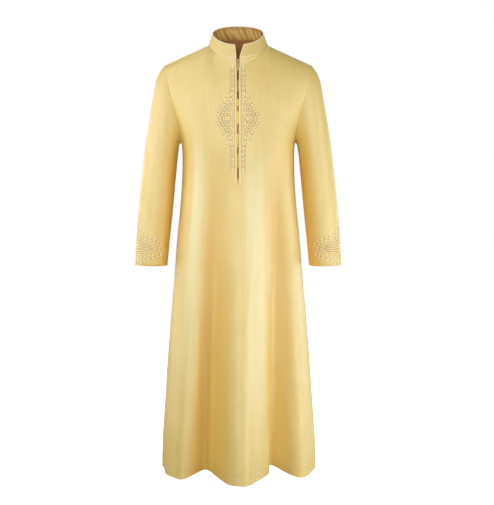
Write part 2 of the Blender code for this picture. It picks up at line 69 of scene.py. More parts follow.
# Adds a node with its settings, links and colour stops, and gives the named output
def addNode(tree, kind, output, inputs=None, stops=(), **settings):
    made = tree.nodes.new("ShaderNode" + kind)
    for name, value in settings.items():
        setattr(made, name, value)
    for name, value in (inputs or {}).items():
        if isinstance(value, bpy.types.NodeSocket):
            tree.links.new(value, made.inputs[name])
        else:
            made.inputs[name].default_value = value
    while stops and len(made.color_ramp.elements) < len(stops):
        made.color_ramp.elements.new(0.5)
    for k, (place, colour) in enumerate(stops):
        made.color_ramp.elements[k].position = place
        made.color_ramp.elements[k].color = hexColour(colour)
    return made.outputs[output]


def newMaterial(name, **values):
    material = bpy.data.materials.new(name)
    material.use_nodes = True
    shader = material.node_tree.nodes["Principled BSDF"]
    for socket, value in values.items():
        shader.inputs[socket.replace("_", " ")].default_value = value
    return material, material.node_tree, shader


# Polyester satin: smooth warp floats give a broad soft gloss over a deep gold dye.  Real floats are about
# 0.2 mm wide; they are drawn at 0.9 mm, so that they show, and the uneven yarn at 3.4 mm.
# Each noise: size across in mm, how many times longer along the warp, detail, roughness
# The first line also holds the colours of the painted shade in the troughs of the folds and of the painted
# highlight along their ridges
satin = {"deep": "EECF70", "middle": "F2D476", "pale": "F4D77B", "hollow": "ECBA3C", "ridge": "FBE9A4",
         "roughness": 0.55, "gloss": 1.0, "ior": 1.8, "cloudPerMetre": 9.0,
         "slub": (3.4, 40, 2.0, 0.55), "float": (0.9, 7, 1.0, 0.5)}


def makeSatin(name, **changes):
    values = dict(satin, **changes)
    material, tree, shader = newMaterial(
        name, Roughness=values["roughness"], Specular_IOR_Level=values["gloss"], IOR=values["ior"])
    place = addNode(tree, "UVMap", "UV", uv_map="cloth")
    noises = {}
    for kind in ("slub", "float"):
        sizeMm, stretch, detail, roughness = values[kind]
        size = 1 / (sizeMm * mm)
        drawn = addNode(tree, "Mapping", "Vector", {"Vector": place, "Scale": (size, size / stretch, 1)})
        noises[kind] = addNode(tree, "TexNoise", "Fac", {"Vector": drawn, "Scale": 1.0, "Detail": detail,
                                                         "Roughness": roughness})
    cloudy = addNode(tree, "TexNoise", "Fac", {"Vector": place, "Scale": values["cloudPerMetre"],
                                               "Detail": 2.0})
    mixed = addNode(tree, "Math", "Value", {0: noises["slub"], 1: cloudy}, operation="ADD")
    half = addNode(tree, "Math", "Value", {0: mixed, 1: 0.5}, operation="MULTIPLY")
    colour = addNode(tree, "ValToRGB", "Color", {"Fac": half},
                     [(0.4, values["deep"]), (0.5, values["middle"]), (0.6, values["pale"])])
    # Painted shade and painted highlight: a point attribute mixes the colour towards the deeper gold where it
    # is positive, in the troughs of the folds, and towards the paler gold where it is negative, on their
    # ridges
    hollow = addNode(tree, "Attribute", "Fac", attribute_name="hollow")
    ridge = addNode(tree, "Math", "Value", {0: hollow, 1: -1.0}, operation="MULTIPLY")
    for share, tint in ((hollow, "hollow"), (ridge, "ridge")):
        colour = addNode(tree, "MixRGB", "Color", {"Fac": share, "Color1": colour,
                                                   "Color2": hexColour(values[tint])})
    height = addNode(tree, "Math", "Value", {0: noises["float"], 1: noises["slub"]}, operation="ADD")
    bump = addNode(tree, "Bump", "Normal", {"Height": height, "Strength": 0.35, "Distance": 0.0002})
    tree.links.new(colour, shader.inputs["Base Color"])
    tree.links.new(bump, shader.inputs["Normal"])
    return material


# Grain in the piece's own space, drawn coarser than real fibres and scratches, so that it shows: where its
# two colours stop, detail, bump strength and depth in metres, and the socket that each finish sets itself
thread = {"stops": (0.35, 0.62), "detail": 3.0, "bump": (0.5, 0.0002), "own": "Specular_IOR_Level",
          "shader": {"Roughness": 0.42, "Sheen_Weight": 0.1}}
brass = {"stops": (0.38, 0.6), "detail": 4.0, "bump": (0.2, 0.0001), "own": "Roughness",
         "shader": {"Metallic": 1.0}}
brassGrain = 10 / 9  # mm


def makeGrained(name, kind, colour, shade, grainMm, level):
    material, tree, shader = newMaterial(name, **kind["shader"], **{kind["own"]: level})
    place = addNode(tree, "TexCoord", "Object")
    grain = addNode(tree, "TexNoise", "Fac", {"Vector": place, "Scale": 1 / (grainMm * mm),
                                              "Detail": kind["detail"]})
    strength, depth = kind["bump"]
    bump = addNode(tree, "Bump", "Normal", {"Height": grain, "Strength": strength, "Distance": depth})
    tint = addNode(tree, "ValToRGB", "Color", {"Fac": grain}, list(zip(kind["stops"], (shade, colour))))
    tree.links.new(tint, shader.inputs["Base Color"])
    tree.links.new(bump, shader.inputs["Normal"])
    return material


satinFace = makeSatin("goldSatin")
# The reverse: duller, with more weft on the surface, and a darker painted shade colour, which shows inside
# the neck
satinBack = makeSatin("goldSatinReverse", deep="F2C768", middle="F6CE72", pale="FAD57C", roughness=0.6,
                      gloss=0.4, hollow="BC7A2A")
# Folded and pressed edges: painted highlight, coloured paler where they catch the light
satinFold = makeSatin("foldedSatinEdge", deep="F4DC94", middle="F7E29E", pale="FAE8AA", hollow="F4D890")
# Rayon embroidery thread: brighter and glossier than the cloth, and a tan strand, partly outline and partly
# painted shade round and between the pale threads
rayonPale = makeGrained("paleRayonThread", thread, "FFFAD2", "FFF2B8", 0.5, 0.8)
rayonTan = makeGrained("tanRayonThread", thread, "D29A30", "B98322", 0.5, 0.4)
# Satin bias over a fine cord, coloured near-white as painted highlight: the near-white line round the collar
pipingSatin = makeGrained("paleHighlightPipingSatin", thread, "FFFCE8", "FFF6D4", 0.8, 0.6)
# Spun polyester sewing thread, matched to the cloth
sewingThread = makeGrained("sewingThread", thread, "E2C583", "CCA75C", 0.4, 0.5)
# Woven polyester zip tape: matt and tan
tapeTwill = makeGrained("zipTapeTwill", thread, "C39A55", "A97F3D", 0.8, 0.3)
# Gold plated brass on the teeth, and a dark brass on runs of teeth down the chain
goldBrass = makeGrained("goldPlatedBrass", brass, "F4DE66", "D0A636", brassGrain, 0.4)
darkBrass = makeGrained("darkRunBrass", brass, "BE800E", "8C5A08", brassGrain, 0.42)
# Satin-finished antique brass on the slider and its pull: paler and pinker than the teeth
antiqueBrass = makeGrained("antiqueSatinBrass", brass, "DAB67A", "A87E40", brassGrain, 0.5)
print("finishes made")

# The robe's skin, mm.  Rings of the body: height, half width, depth in front, depth behind
bodyRings = np.array([
    (-1345, 248, 192, 190), (-1245, 245, 186, 184), (-1115, 236, 178, 176), (-985, 226.5, 169, 168),
    (-857, 216, 160, 160), (-729, 204, 150, 152), (-602, 193.5, 141, 144), (-477, 180, 134, 137),
    (-383, 174, 131, 132), (-299, 177, 131, 129), (-237, 190, 130, 127), (-187, 205, 127, 125),
    (-137, 220, 121, 122), (-87, 230, 114, 118), (-40, 235, 110, 112),
])
# The armhole edge: height, distance from the middle
armholeEdge = np.array([
    (-299, 177), (-287, 177.5), (-259, 180.5), (-221, 188), (-187, 196), (-157, 204.5), (-123, 213.5),
    (-85, 221.5), (-61, 228),
])
# Rings of the sleeve: inner x and z, outer x and z, middle y, half depth
sleeveRings = np.array([
    (177, -299, 228, -61, -3, 64), (180.5, -300.5, 243, -82, -3, 68), (183, -304.5, 252.5, -103, -3, 71),
    (184.5, -310, 258.5, -127, -3, 73), (185.5, -317, 264, -156, -3, 75), (187, -327, 270, -190, -4, 76),
    (189, -345, 276.5, -227, -5, 76), (191.5, -372, 284, -272, -7, 74), (195.5, -414, 292.5, -335, -10, 70),
    (200, -464, 301, -410, -14, 65), (205.5, -524, 309.5, -492, -18, 59), (213, -595, 316.5, -577, -23, 52),
    (221, -678, 322, -676, -28, 46),
])
# Folds of the skirt: degrees round at the top and at the hem, top height, depth, reach to each side
folds = [
    (-24, -30.5, -299, -67, 16, 28.5), (4, 4.5, -600, 20, 18, 9), (43, 34.5, -299, -56, 31, 21),
    (33, 33, -760, -35, 8, 15.5), (78, 74.5, -420, -4.5, 16, 16), (-82, -80, -420, -8, 16, 16),
    (209, 213, -299, -54, 24, 22), (180, 176, -420, -34, 18, 18), (146, 142, -299, -58, 21, 26),
    (246, 246, -620, -22, 18, 18),
]
# Painted shade and painted highlight, set into the cloth's colour: deeper gold in the troughs of the folds
# and paler along their ridges:
# 0 on open cloth, 1 in the bottom of a fold, -1 on a ridge.
# Rows: degrees round at the top and hem, top height, edges of the band to each side, strength high and low
hollows = [
    (-25, -36, -230, -5, -1, 5, 26, 0.68, 0.5), (-29, -38.5, -380, -4, -1, 2, 10, 0.3, 0.8),
    (-14, -17, -560, -10, -4, 6, 14, 0.6, 0.5), (43, 44, -290, -12, -4, 2, 10, 1.15, 0.45),
    (-41, -46, -200, -9, -2, 4, 9, -1.4, 0.1), (17, 14, -230, -12, -4, 6, 13, -1.4, 0.0),
    (61, 65, -200, -9, -2, 5, 12, -1.0, 0.0), (-62, -64, -600, -10, -3, 3, 12, 0.1, 0.4),
    (209, 213, -299, -16, -3, 8, 20, 0.6, 0.5), (180, 176, -420, -12, -2, 2, 12, 0.5, 0.5),
    (146, 142, -299, -20, -8, 3, 16, 0.6, 0.5), (194, 194, -299, -8, -2, 2, 8, -0.7, -0.4),
    (163, 160, -299, -8, -2, 2, 8, -0.7, -0.4), (-130, -128, -299, -9, -2, 2, 9, -0.6, -0.4),
]
paintedShadeGrowth = 3.2
skin = {
    "armpitZ": -299.0, "hemZ": -1329.0, "drop": 1034.0, "riseInFold": 0.33, "shoulder": (228.0, -5.0, -61.0),
    "neckPoint": (91.0, -16.0, 0.0), "ringPower": 2.25, "neckEnd": 0.5, "closing": 0.4, "closingPower": 3.0,
    "mergePower": 1.5, "cornerBlur": 0.7, "atArmpit": 1e-6, "atShoulder": 1e-15, "sleeveFade": 5.0,
    "slitInU": 1e-4, "seamGap": 0.3, "wall": 1.2, "hemFold": 27.0, "cuffFold": 25.0, "hemWall": 2.2,
}
# Half the slit's width by height: along the zip, at the slider, at the neck
sliderZ = -51.0
slitHalf = [(-76.0, 3.5), (sliderZ, 4.6), (-40.0, 5.5)]
# Each side: its way along y, its column of the rings, its dip at the hem and its armhole's reach
sides = {"front": {"sign": -1, "depths": 2, "dip": 4.7, "armhole": 62.0},
         "back": {"sign": 1, "depths": 3, "dip": 4.0, "armhole": 66.0}}
neckBase = {"halfWidth": 91.0, "halfDepth": 79.0, "frontZ": -40.0, "sideZ": 0.0, "backZ": 24.0}
neckTop = {"halfWidth": 78.5, "halfDepth": 70.0, "frontZ": -3.0, "sideZ": 36.0, "backZ": 64.0}
neckMiddleY = -16.0


def smoothCurve(xs, ys, at):
    at = np.asarray(at, float)
    slopes = np.gradient(ys, xs)
    k = np.clip(np.searchsorted(xs, at) - 1, 0, len(xs) - 2)
    span = xs[k + 1] - xs[k]
    t = np.clip((at - xs[k]) / span, 0, 1)
    start = (1 + 2 * t) * (1 - t) ** 2 * ys[k] + t * (1 - t) ** 2 * span * slopes[k]
    end = t * t * (3 - 2 * t) * ys[k + 1] - t * t * (1 - t) * span * slopes[k + 1]
    return start + end


def ringAt(column, z):
    return smoothCurve(bodyRings[:, 0], bodyRings[:, column], z)


def fadeFromEdge(distance, width):
    t = np.clip(distance / width, 0, 1)
    return t * t * (3 - 2 * t)


# A tilted oval round the neck, turning from the front past the wearer's left
def neckOval(size, turn):
    fall = (size["backZ"] - size["frontZ"]) / 2
    middle = (size["backZ"] + size["frontZ"]) / 2
    level, bend = (middle + size["sideZ"]) / 2, (middle - size["sideZ"]) / 2
    return (size["halfWidth"] * np.sin(turn), neckMiddleY - size["halfDepth"] * np.cos(turn),
            level - fall * np.cos(turn) + bend * np.cos(2 * turn))


# Share of a fold's length above a point, and the degrees round from the fold's middle
def placeInFold(turn, z, turnAtTop, turnAtHem, topZ):
    share = np.clip((topZ - z) / (topZ - skin["hemZ"]), 0, 1)
    centre = turnAtTop + (turnAtHem - turnAtTop) * share
    return share, (turn - centre + 180) % 360 - 180


def foldDepth(turn, z):
    total = np.zeros(np.broadcast(turn, z).shape)
    for turnAtTop, turnAtHem, topZ, depth, left, right in folds:
        share, away = placeInFold(turn, z, turnAtTop, turnAtHem, topZ)
        reach = np.where(away < 0, left, right)
        total = total + depth * share * np.where(abs(away) < reach, (1 + np.cos(pi * away / reach)) / 2, 0)
    return total


def hollowTone(turn, z):
    total = np.zeros(np.broadcast(turn, z).shape)
    for turnAtTop, turnAtHem, topZ, *edges, high, low in hollows:
        share, away = placeInFold(turn, z, turnAtTop, turnAtHem, topZ)
        band = fadeFromEdge(np.interp(away, edges, (0, 1, 1, 0)), 1)
        total = total + (high + (low - high) * share) * fadeFromEdge(share * paintedShadeGrowth, 1) * band
    return np.clip(total, -1, 1)


# Below the armpits: u across from -1 to 1, down from 0 to 1 at the hem
def skirtPoints(side, u, down):
    sign, power = sides[side]["sign"], skin["ringPower"]
    angle = u * pi / 2
    turn = np.degrees(angle) if side == "front" else 180 - np.degrees(angle)
    inFold = np.minimum(foldDepth(turn, skin["hemZ"]), 0)
    hemZ = skin["hemZ"] - sides[side]["dip"] * np.cos(angle) - skin["riseInFold"] * inFold
    z = skin["armpitZ"] + (hemZ - skin["armpitZ"]) * down
    half, depth = ringAt(1, z), ringAt(sides[side]["depths"], z)
    across = np.sin(angle)
    x = half * across
    y = sign * depth * (1 - abs(across) ** power) ** (1 / power)
    outX = np.sign(across) * abs(across) ** (power - 1) / half
    outY = sign * (1 - abs(across) ** power) ** (1 - 1 / power) / depth
    length = np.hypot(outX, outY)
    push = foldDepth(turn, z)
    return np.stack([x + push * outX / length, y + push * outY / length, z], -1)


# The neckline, then the shoulder seam, and how fast the panel closes on it
def yokeTop(side, u):
    size = abs(u)
    onNeck = size < skin["neckEnd"]
    turn = np.minimum(size / skin["neckEnd"], 1) * pi / 2
    neck = neckOval(neckBase, turn if side == "front" else pi - turn)
    along = np.clip((size - skin["neckEnd"]) / (1 - skin["neckEnd"]), 0, 1)
    seam = [a + (b - a) * along for a, b in zip(skin["neckPoint"], skin["shoulder"])]
    x, y, z = (np.where(onNeck, a, b) for a, b in zip(neck, seam))
    closing = 1 - (1 - skin["closing"]) * np.where(onNeck, np.sin(turn) ** 2, 1)
    return np.stack([x * np.sign(u), y, z, closing])


# Above the armpits: u across, up from 0 to 1 at the top edge
def yokePoints(side, u, up):
    sign, reach = sides[side]["sign"], sides[side]["armhole"]
    shoulderX, shoulderY, shoulderZ = skin["shoulder"]
    power = skin["ringPower"]
    edgeZ = skin["armpitZ"] + (shoulderZ - skin["armpitZ"]) * up
    edgeX = smoothCurve(armholeEdge[:, 0], armholeEdge[:, 1], edgeZ)
    edgeY = shoulderY * up + sign * reach * 2 * np.sqrt(up * (1 - up))
    depth = ringAt(sides[side]["depths"], edgeZ)
    leftToClose = np.maximum(1 - up ** skin["closingPower"], skin["atShoulder"])
    ringY = np.clip(sign * ((edgeY - shoulderY) / leftToClose ** skin["closing"] + shoulderY), 0, None)
    ringY = np.where(up < skin["atArmpit"], 0, ringY)
    half = edgeX / (1 - (ringY / depth) ** power) ** (1 / power)
    edgeAngle = np.arcsin(np.clip(edgeX / half, 0, 1))
    blur = skin["cornerBlur"] * (1 - abs(u)) * np.sqrt(1 - up)
    blurSteps = (-1.0, -0.5, 0.0, 0.5, 1.0)
    topX, topY, topZ, closing = sum(yokeTop(side, u + blur * step) for step in blurSteps) / len(blurSteps)
    merge = up ** skin["mergePower"]
    ringX = half * np.sin(u * edgeAngle)
    x = (1 - merge) * ringX + merge * topX * edgeX / shoulderX
    ring = sign * depth * (1 - np.clip(abs(ringX / half), 0, 1) ** power) ** (1 / power)
    y = np.where(up < skin["atArmpit"], ring, topY + (ring - topY) * leftToClose ** closing)
    z = edgeZ + merge * (topZ - shoulderZ)
    return np.stack(np.broadcast_arrays(x, y, z), -1)


# One slanted oval of the sleeve, psi turning from its outer edge past the front
def sleeveOval(measures, psi):
    innerX, innerZ, outerX, outerZ, middleY, halfDepth = measures
    x = (outerX + innerX) / 2 + np.cos(psi) * (outerX - innerX) / 2
    z = (outerZ + innerZ) / 2 + np.cos(psi) * (outerZ - innerZ) / 2
    return np.stack(np.broadcast_arrays(x, middleY - halfDepth * np.sin(psi), z), -1)


def sleevePoints(ring, psi):
    steps = np.arange(len(sleeveRings), dtype=float)
    points = sleeveOval([smoothCurve(steps, column, ring) for column in sleeveRings.T], psi)
    fade = np.clip(1 - ring / skin["sleeveFade"], 0, 1) ** 2
    if np.any(fade > 0):
        up = (1 + np.cos(psi)) / 2
        front, back = (yokePoints(side, np.ones_like(up), up) for side in ("front", "back"))
        armhole = np.where((psi % (2 * pi) <= pi)[..., None], front, back)
        points = points + (armhole - sleeveOval(sleeveRings[0], psi)) * fade[..., None]
    return points


# Dividing the skin finely enough for creases and seams
weave = {"yokeRows": 60, "skirtRows": 150, "sleeveRows": 104, "collarRows": 14, "zipRows": 17,
         "zipDown": 0.118, "hemRows": (-2.4, -1.4, -0.8, -0.4, 0, 0.4, 0.8, 1.4, 2.4, 5, 9, 14, 19, 22.5,
                                       24.5, 25.7, 26.5)}
hemDown = 1 - skin["hemFold"] / skin["drop"]
hemSteps = [hemDown + step / skin["drop"] for step in weave["hemRows"]]
upSteps = (1 - np.cos(pi * np.arange(1, weave["yokeRows"] + 1) / weave["yokeRows"])) / 2
downSteps = np.concatenate([
    np.linspace(0, weave["zipDown"], weave["zipRows"]),
    np.linspace(weave["zipDown"], hemDown - 0.005, weave["skirtRows"])[1:], hemSteps, [1.0]])
uOut = np.concatenate([np.linspace(0.5, 0.98, 34), [0.9855, 0.991, 0.9945, 0.9968, 0.9982, 0.9992, 1.0]])
uFront = np.concatenate([np.linspace(0.026, 0.5, 35)[:-1], uOut])
uBack = np.concatenate([np.linspace(0.0, 0.5, 36)[:-1], uOut])
slitFirstRow = len(downSteps) - weave["zipRows"]
psiSteps = 2 * pi * np.arange(2 * weave["yokeRows"]) / (2 * weave["yokeRows"])


def panelGrid(side, steps):
    right = steps[steps > 0]
    middle = [-skin["slitInU"], skin["slitInU"]] if side == "front" else [0.0]
    u = np.concatenate([-right[::-1], middle, right])[None]
    grid = np.concatenate([skirtPoints(side, u, downSteps[::-1, None]),
                           yokePoints(side, u, upSteps[:, None])])
    if side == "front":
        for column, way in ((len(right), -1), (len(right) + 1, 1)):
            grid[:, column, 0] = way * np.interp(grid[:, column, 2], *zip(*slitHalf))
    return grid


# Outward directions, shared by all pieces that meet at a point
def sharedNormals(grids, closed):
    facings = []
    first, rest = np.s_[:-1], np.s_[1:]
    for grid, isRing in zip(grids, closed):
        whole = np.concatenate([grid, grid[:, :1]], 1) if isRing else grid
        facing = np.cross(whole[1:, 1:] - whole[:-1, :-1], whole[1:, :-1] - whole[:-1, 1:])
        total = np.zeros(whole.shape)
        for corner in ((first, first), (first, rest), (rest, rest), (rest, first)):
            total[corner] += facing
        if isRing:
            total[:, 0] += total[:, -1]
            total = total[:, :-1]
        facings.append(total.reshape(-1, 3))
    keys = np.round(np.concatenate([grid.reshape(-1, 3) for grid in grids]), 2).astype(np.float32)
    unique, back = np.unique(keys, axis=0, return_inverse=True)
    sums = np.zeros((len(unique), 3))
    np.add.at(sums, back.ravel(), np.concatenate(facings))
    sums /= np.linalg.norm(sums, axis=1, keepdims=True)
    parts = np.split(sums[back.ravel()], np.cumsum([len(facing) for facing in facings])[:-1])
    return [part.reshape(grid.shape) for part, grid in zip(parts, grids)]


frontGrid, backGrid = panelGrid("front", uFront), panelGrid("back", uBack)[:, ::-1]
sleeveSteps = np.linspace(0, len(sleeveRings) - 1, weave["sleeveRows"])
sleeveGrid = sleevePoints(sleeveSteps[:, None], psiSteps[None, :])
otherSleeveGrid = sleeveGrid[:, ::-1] * (-1, 1, 1)
frontNormals, backNormals, sleeveNormals, otherSleeveNormals = sharedNormals(
    [frontGrid, backGrid, sleeveGrid, otherSleeveGrid], (False, False, True, True))
print("skin worked out:", frontGrid.shape, backGrid.shape, sleeveGrid.shape)


# From skin to cloth walls
def unit(rows):
    return rows / np.maximum(np.linalg.norm(rows, axis=-1, keepdims=True), 1e-9)


# Lengths from the first row, and along the rows from one column
def alongRows(grid):
    steps = np.linalg.norm(np.diff(grid, axis=0), axis=-1)
    return np.concatenate([np.zeros((1, grid.shape[1])), np.cumsum(steps, axis=0)])


def alongColumns(grid, middle=0):
    length = alongRows(grid.swapaxes(0, 1)).T
    return length - length[:, middle:middle + 1]


# The grid with some rims drawn back from the seams
firstRow, lastRow, firstColumn, lastColumn = (0, 0, 1), (0, -1, -2), (1, 0, 1), (1, -1, -2)


def pulledBack(outer, edges, gap):
    grid = outer.copy()
    for axis, rim, beside in edges:
        lines = outer.swapaxes(0, axis)
        inward = lines[beside] - lines[rim]
        length = np.linalg.norm(inward, axis=-1, keepdims=True)
        grid.swapaxes(0, axis)[rim] += unit(inward) * np.minimum(gap / 2, length * 0.45)
    return grid


def quadsOf(rows, columns, isRing=False):
    ids = np.arange(rows * columns).reshape(rows, columns)
    after = np.roll(ids, -1, 1)
    if not isRing:
        ids, after = ids[:, :-1], after[:, :-1]
    return np.stack([ids[:-1], after[:-1], after[1:], ids[1:]], -1)


def newMesh(name, points, faces):
    mesh = bpy.data.meshes.new(name)
    mesh.from_pydata((points * mm).tolist(), [], faces)
    return mesh


def dressMesh(mesh, finishes, smoothAngle):
    for finish in finishes:
        mesh.materials.append(finish)
    mesh.shade_smooth()
    mesh.set_sharp_from_angle(angle=radians(smoothAngle))


def finishObject(mesh, finishes, smoothAngle):
    dressMesh(mesh, finishes, smoothAngle)
    piece = bpy.data.objects.new(mesh.name, mesh)
    bpy.context.scene.collection.objects.link(piece)
    return piece


# A closed wall between two grids of points, with rounded rims; skip names the cells left open
def clothWall(name, outer, inner, uv, tone, toneUnder=None, isRing=False, skip=(), bulge=0.3):
    rows, columns = outer.shape[:2]
    quads = quadsOf(rows, columns, isRing)
    keep = np.ones(quads.shape[:2], bool)
    for cell in skip:
        keep[cell] = False
    quads, count = quads[keep], rows * columns
    a, b = quads.ravel(), np.roll(quads, -1, 1).ravel()
    isRim = ~np.isin(b * count + a, a * count + b)
    rimA, rimB = a[isRim], b[isRim]
    flat, under = outer.reshape(-1, 3), inner.reshape(-1, 3)
    through = under - flat
    outward = np.zeros_like(flat)
    side = unit(np.cross(flat[rimB] - flat[rimA], -through[rimA]))
    np.add.at(outward, rimA, side)
    np.add.at(outward, rimB, side)
    outward = unit(outward)
    rimIds = np.unique(np.concatenate([rimA, rimB]))
    slot = np.full(count, -1)
    slot[rimIds] = np.arange(len(rimIds))
    swell = np.linalg.norm(through[rimIds], axis=1, keepdims=True) * bulge * outward[rimIds]
    points = np.concatenate([flat, under] + [flat[rimIds] + through[rimIds] * share + swell
                                             for share in (0.2, 0.8)])
    firstMiddle = 2 * count + slot
    lines = [np.arange(count), firstMiddle, firstMiddle + len(rimIds), count + np.arange(count)]
    bands = [np.stack([near[rimB], near[rimA], far[rimA], far[rimB]], 1)
             for near, far in zip(lines, lines[1:])]
    faces = np.concatenate([quads, quads[:, ::-1] + count, *bands])
    used = np.zeros(len(points), bool)
    used[faces.ravel()] = True
    mesh = newMesh(name, points[used], (np.cumsum(used) - 1)[faces].tolist())
    kinds = np.repeat([0, 1, 2], [len(quads), len(quads), 3 * len(rimA)])
    mesh.polygons.foreach_set("material_index", kinds.astype(np.int32))
    flatUv = uv.reshape(-1, 2) * mm
    corners = np.concatenate([flatUv, flatUv, flatUv[rimIds], flatUv[rimIds]])[faces]
    if isRing:
        turnLength = np.ptp(corners[..., 0])
        wide = np.ptp(corners[..., 0], axis=1) > turnLength / 2
        corners[wide, :, 0] += turnLength * (corners[wide, :, 0] < turnLength / 2)
    mesh.uv_layers.new(name="cloth").data.foreach_set("uv", corners.reshape(-1).astype(np.float32))
    # Painted shade (positive) and painted highlight (negative) at each point: outer face, inner face, and the
    # rims as the outer face
    over, below = tone.ravel(), (tone if toneUnder is None else toneUnder).ravel()
    paintedShadeValues = np.concatenate([over, below, over[rimIds], over[rimIds]])
    hollow = mesh.attributes.new("hollow", "FLOAT", "POINT")
    hollow.data.foreach_set("value", paintedShadeValues[used].astype(np.float32))
    return finishObject(mesh, [satinFace, satinBack, satinFold], 60)


# Panels and sleeves.  Where thread draws the cloth in: depth, reach
drawnIn = {"stitch": (0.35, 1.1), "seam": (0.55, 1.4)}
hem = {"pucker": 0.22, "waves": (17, 100, 21), "reach": 9, "foldOver": 1.5, "foldFade": 3.0}


def groove(distance, kind):
    depth, reach = drawnIn[kind]
    return depth * np.exp(-(distance / reach) ** 2)


# A soft trough or ridge along a line on the cloth: x and z of both ends, reach to each side, height
def creases(x, z, rows):
    total = np.zeros_like(x)
    for x0, z0, x1, z1, left, right, height in rows:
        length = np.hypot(x1 - x0, z1 - z0)
        alongX, alongZ = (x1 - x0) / length, (z1 - z0) / length
        t = ((x - x0) * alongX + (z - z0) * alongZ) / length
        away = (x - x0) * -alongZ + (z - z0) * alongX
        if alongZ > 0:
            away = -away
        taper = np.sin(pi * np.clip(t, 0, 1)) ** 1.5
        total += height * taper * np.exp(-(away / np.where(away < 0, left, right)) ** 2)
    return total


def gentleWaves(a, b, wavelengthA, wavelengthB, seed, count=7):
    dice = np.random.default_rng(seed)
    total = 0
    for k in range(count):
        stretch, turn, start = dice.uniform(0.6, 1.6), dice.uniform(-0.5, 0.5), dice.uniform(0, 2 * pi)
        total = total + np.sin(2 * pi * stretch * (a / wavelengthA + turn * b / wavelengthB
                                                   + (1 - abs(turn)) * b / wavelengthB) + start)
    return total / count ** 0.5


# Soft waves: height, then their lengths across and down and a seed
relief = {
    "front": {"height": 0.25, "waves": (60, 260, 4), "creases": [
        (59, -330, 25, -905, 14, 10, 3.0), (-97, -260, -112, -760, 10, 15, -2.4),
        (-104, -480, -108, -1400, 12, 16, -5.0), (-158, -340, -186, -1330, 15, 15, 4.0),
        (116, -280, 106, -1250, 9, 11, -4.0), (160, -260, 174, -1180, 15, 17, 4.0),
        (2, -1170, 3, -1352, 5, 3, 1.6), (10, -60, 40, -62, 3.0, 3.5, -1.8),
        (30, -60, 62, -38, 3.5, 3.0, -2.2), (24, -50, 54, -34, 3.5, 3, 1.4),
    ]},
    "back": {"height": 0.3, "waves": (60, 260, 9), "creases": [
        (-40, -120, -60, -420, 16, 12, 2.0), (48, -140, 62, -430, 12, 16, 1.8),
    ]},
}
flatBy = {"seam": 14, "neck": 12}
# Sleeves: soft waves, and painted shade on the side turned to the body, starting some degrees from the outer
# edge, grown over some degrees, and faded in over some mm from the armhole
sleeveRelief = {"height": 0.3, "waves": (90, 240), "tone": 0.95, "from": 84, "fade": 46, "down": 120}
# Painted shade on the inner face of the back panel, grown from this height towards the neck over this many mm
neckShade = {"from": -150, "fade": 110}


# One cut piece, drawn in along its seams and its hem's stitches, thicker where the hem is folded up
def sewnPiece(name, grid, normals, edges, push, fromSeam, fromHem, fold, uv, tone, puckers=0, **rest):
    push = push + (puckers - groove(fromHem - fold, "stitch")) - groove(fromSeam, "seam")
    outer = pulledBack(grid, edges, skin["seamGap"]) + normals * push[..., None]
    inHem = fadeFromEdge(fold + hem["foldOver"] - fromHem, hem["foldFade"])
    wall = skin["wall"] + (skin["hemWall"] - skin["wall"]) * inHem
    return clothWall(name, outer, outer - normals * wall[..., None], uv, tone, **rest), outer


def panelPiece(side, grid, normals, middle):
    down = np.concatenate([downSteps[::-1], np.full(len(upSteps), -1.0)])
    fromHem = ((1 - down) * skin["drop"])[:, None]
    rise, across = alongRows(grid), alongColumns(grid, middle)
    fromSide = np.minimum(across - across[:, :1], across[:, -1:] - across)
    x, y, z = np.moveaxis(grid, -1, 0)
    push = creases(x, z, relief[side]["creases"])
    push += relief[side]["height"] * gentleWaves(x, z, *relief[side]["waves"])
    push *= fadeFromEdge(fromSide, flatBy["seam"]) * fadeFromEdge(rise[-1:] - rise, flatBy["neck"])
    pucker = gentleWaves(across, rise * 0, *hem["waves"])
    pucker = pucker * np.exp(-((fromHem - skin["hemFold"]) / hem["reach"]) ** 2)
    isFront = side == "front"
    skip = [(i, middle) for i in range(slitFirstRow, len(grid) - 1)] if isFront else ()
    turn = np.degrees(np.arctan2(x / ringAt(1, z), -y / ringAt(sides[side]["depths"], z)))
    # Painted shade and highlight from the fold bands, and on the back's inner face painted shade growing
    # towards the neck
    tone = hollowTone(turn, z)
    paintedNeckShade = tone if isFront else fadeFromEdge(z - neckShade["from"], neckShade["fade"])
    return sewnPiece(side + "Panel", grid, normals, (lastRow, firstColumn, lastColumn), push, fromSide,
                     fromHem, skin["hemFold"], np.stack([across, rise], -1), tone, hem["pucker"] * pucker,
                     skip=skip, toneUnder=np.maximum(tone, paintedNeckShade))


def sleevePiece(name, grid, normals, seed):
    length, across = alongRows(grid), alongColumns(grid)
    push = sleeveRelief["height"] * gentleWaves(across, length, *sleeveRelief["waves"], seed)
    push = push * fadeFromEdge(length, flatBy["seam"])
    # Painted shade on the side of the sleeve turned to the body, fading out towards the armhole
    toBody = np.degrees(np.abs((psiSteps + pi) % (2 * pi) - pi))[None, :]
    tone = sleeveRelief["tone"] * fadeFromEdge(toBody - sleeveRelief["from"], sleeveRelief["fade"])
    return sewnPiece(name, grid, normals, (firstRow,), push, length, length[-1:] - length, skin["cuffFold"],
                     np.stack([across, -length], -1), tone * fadeFromEdge(length, sleeveRelief["down"]),
                     isRing=True)


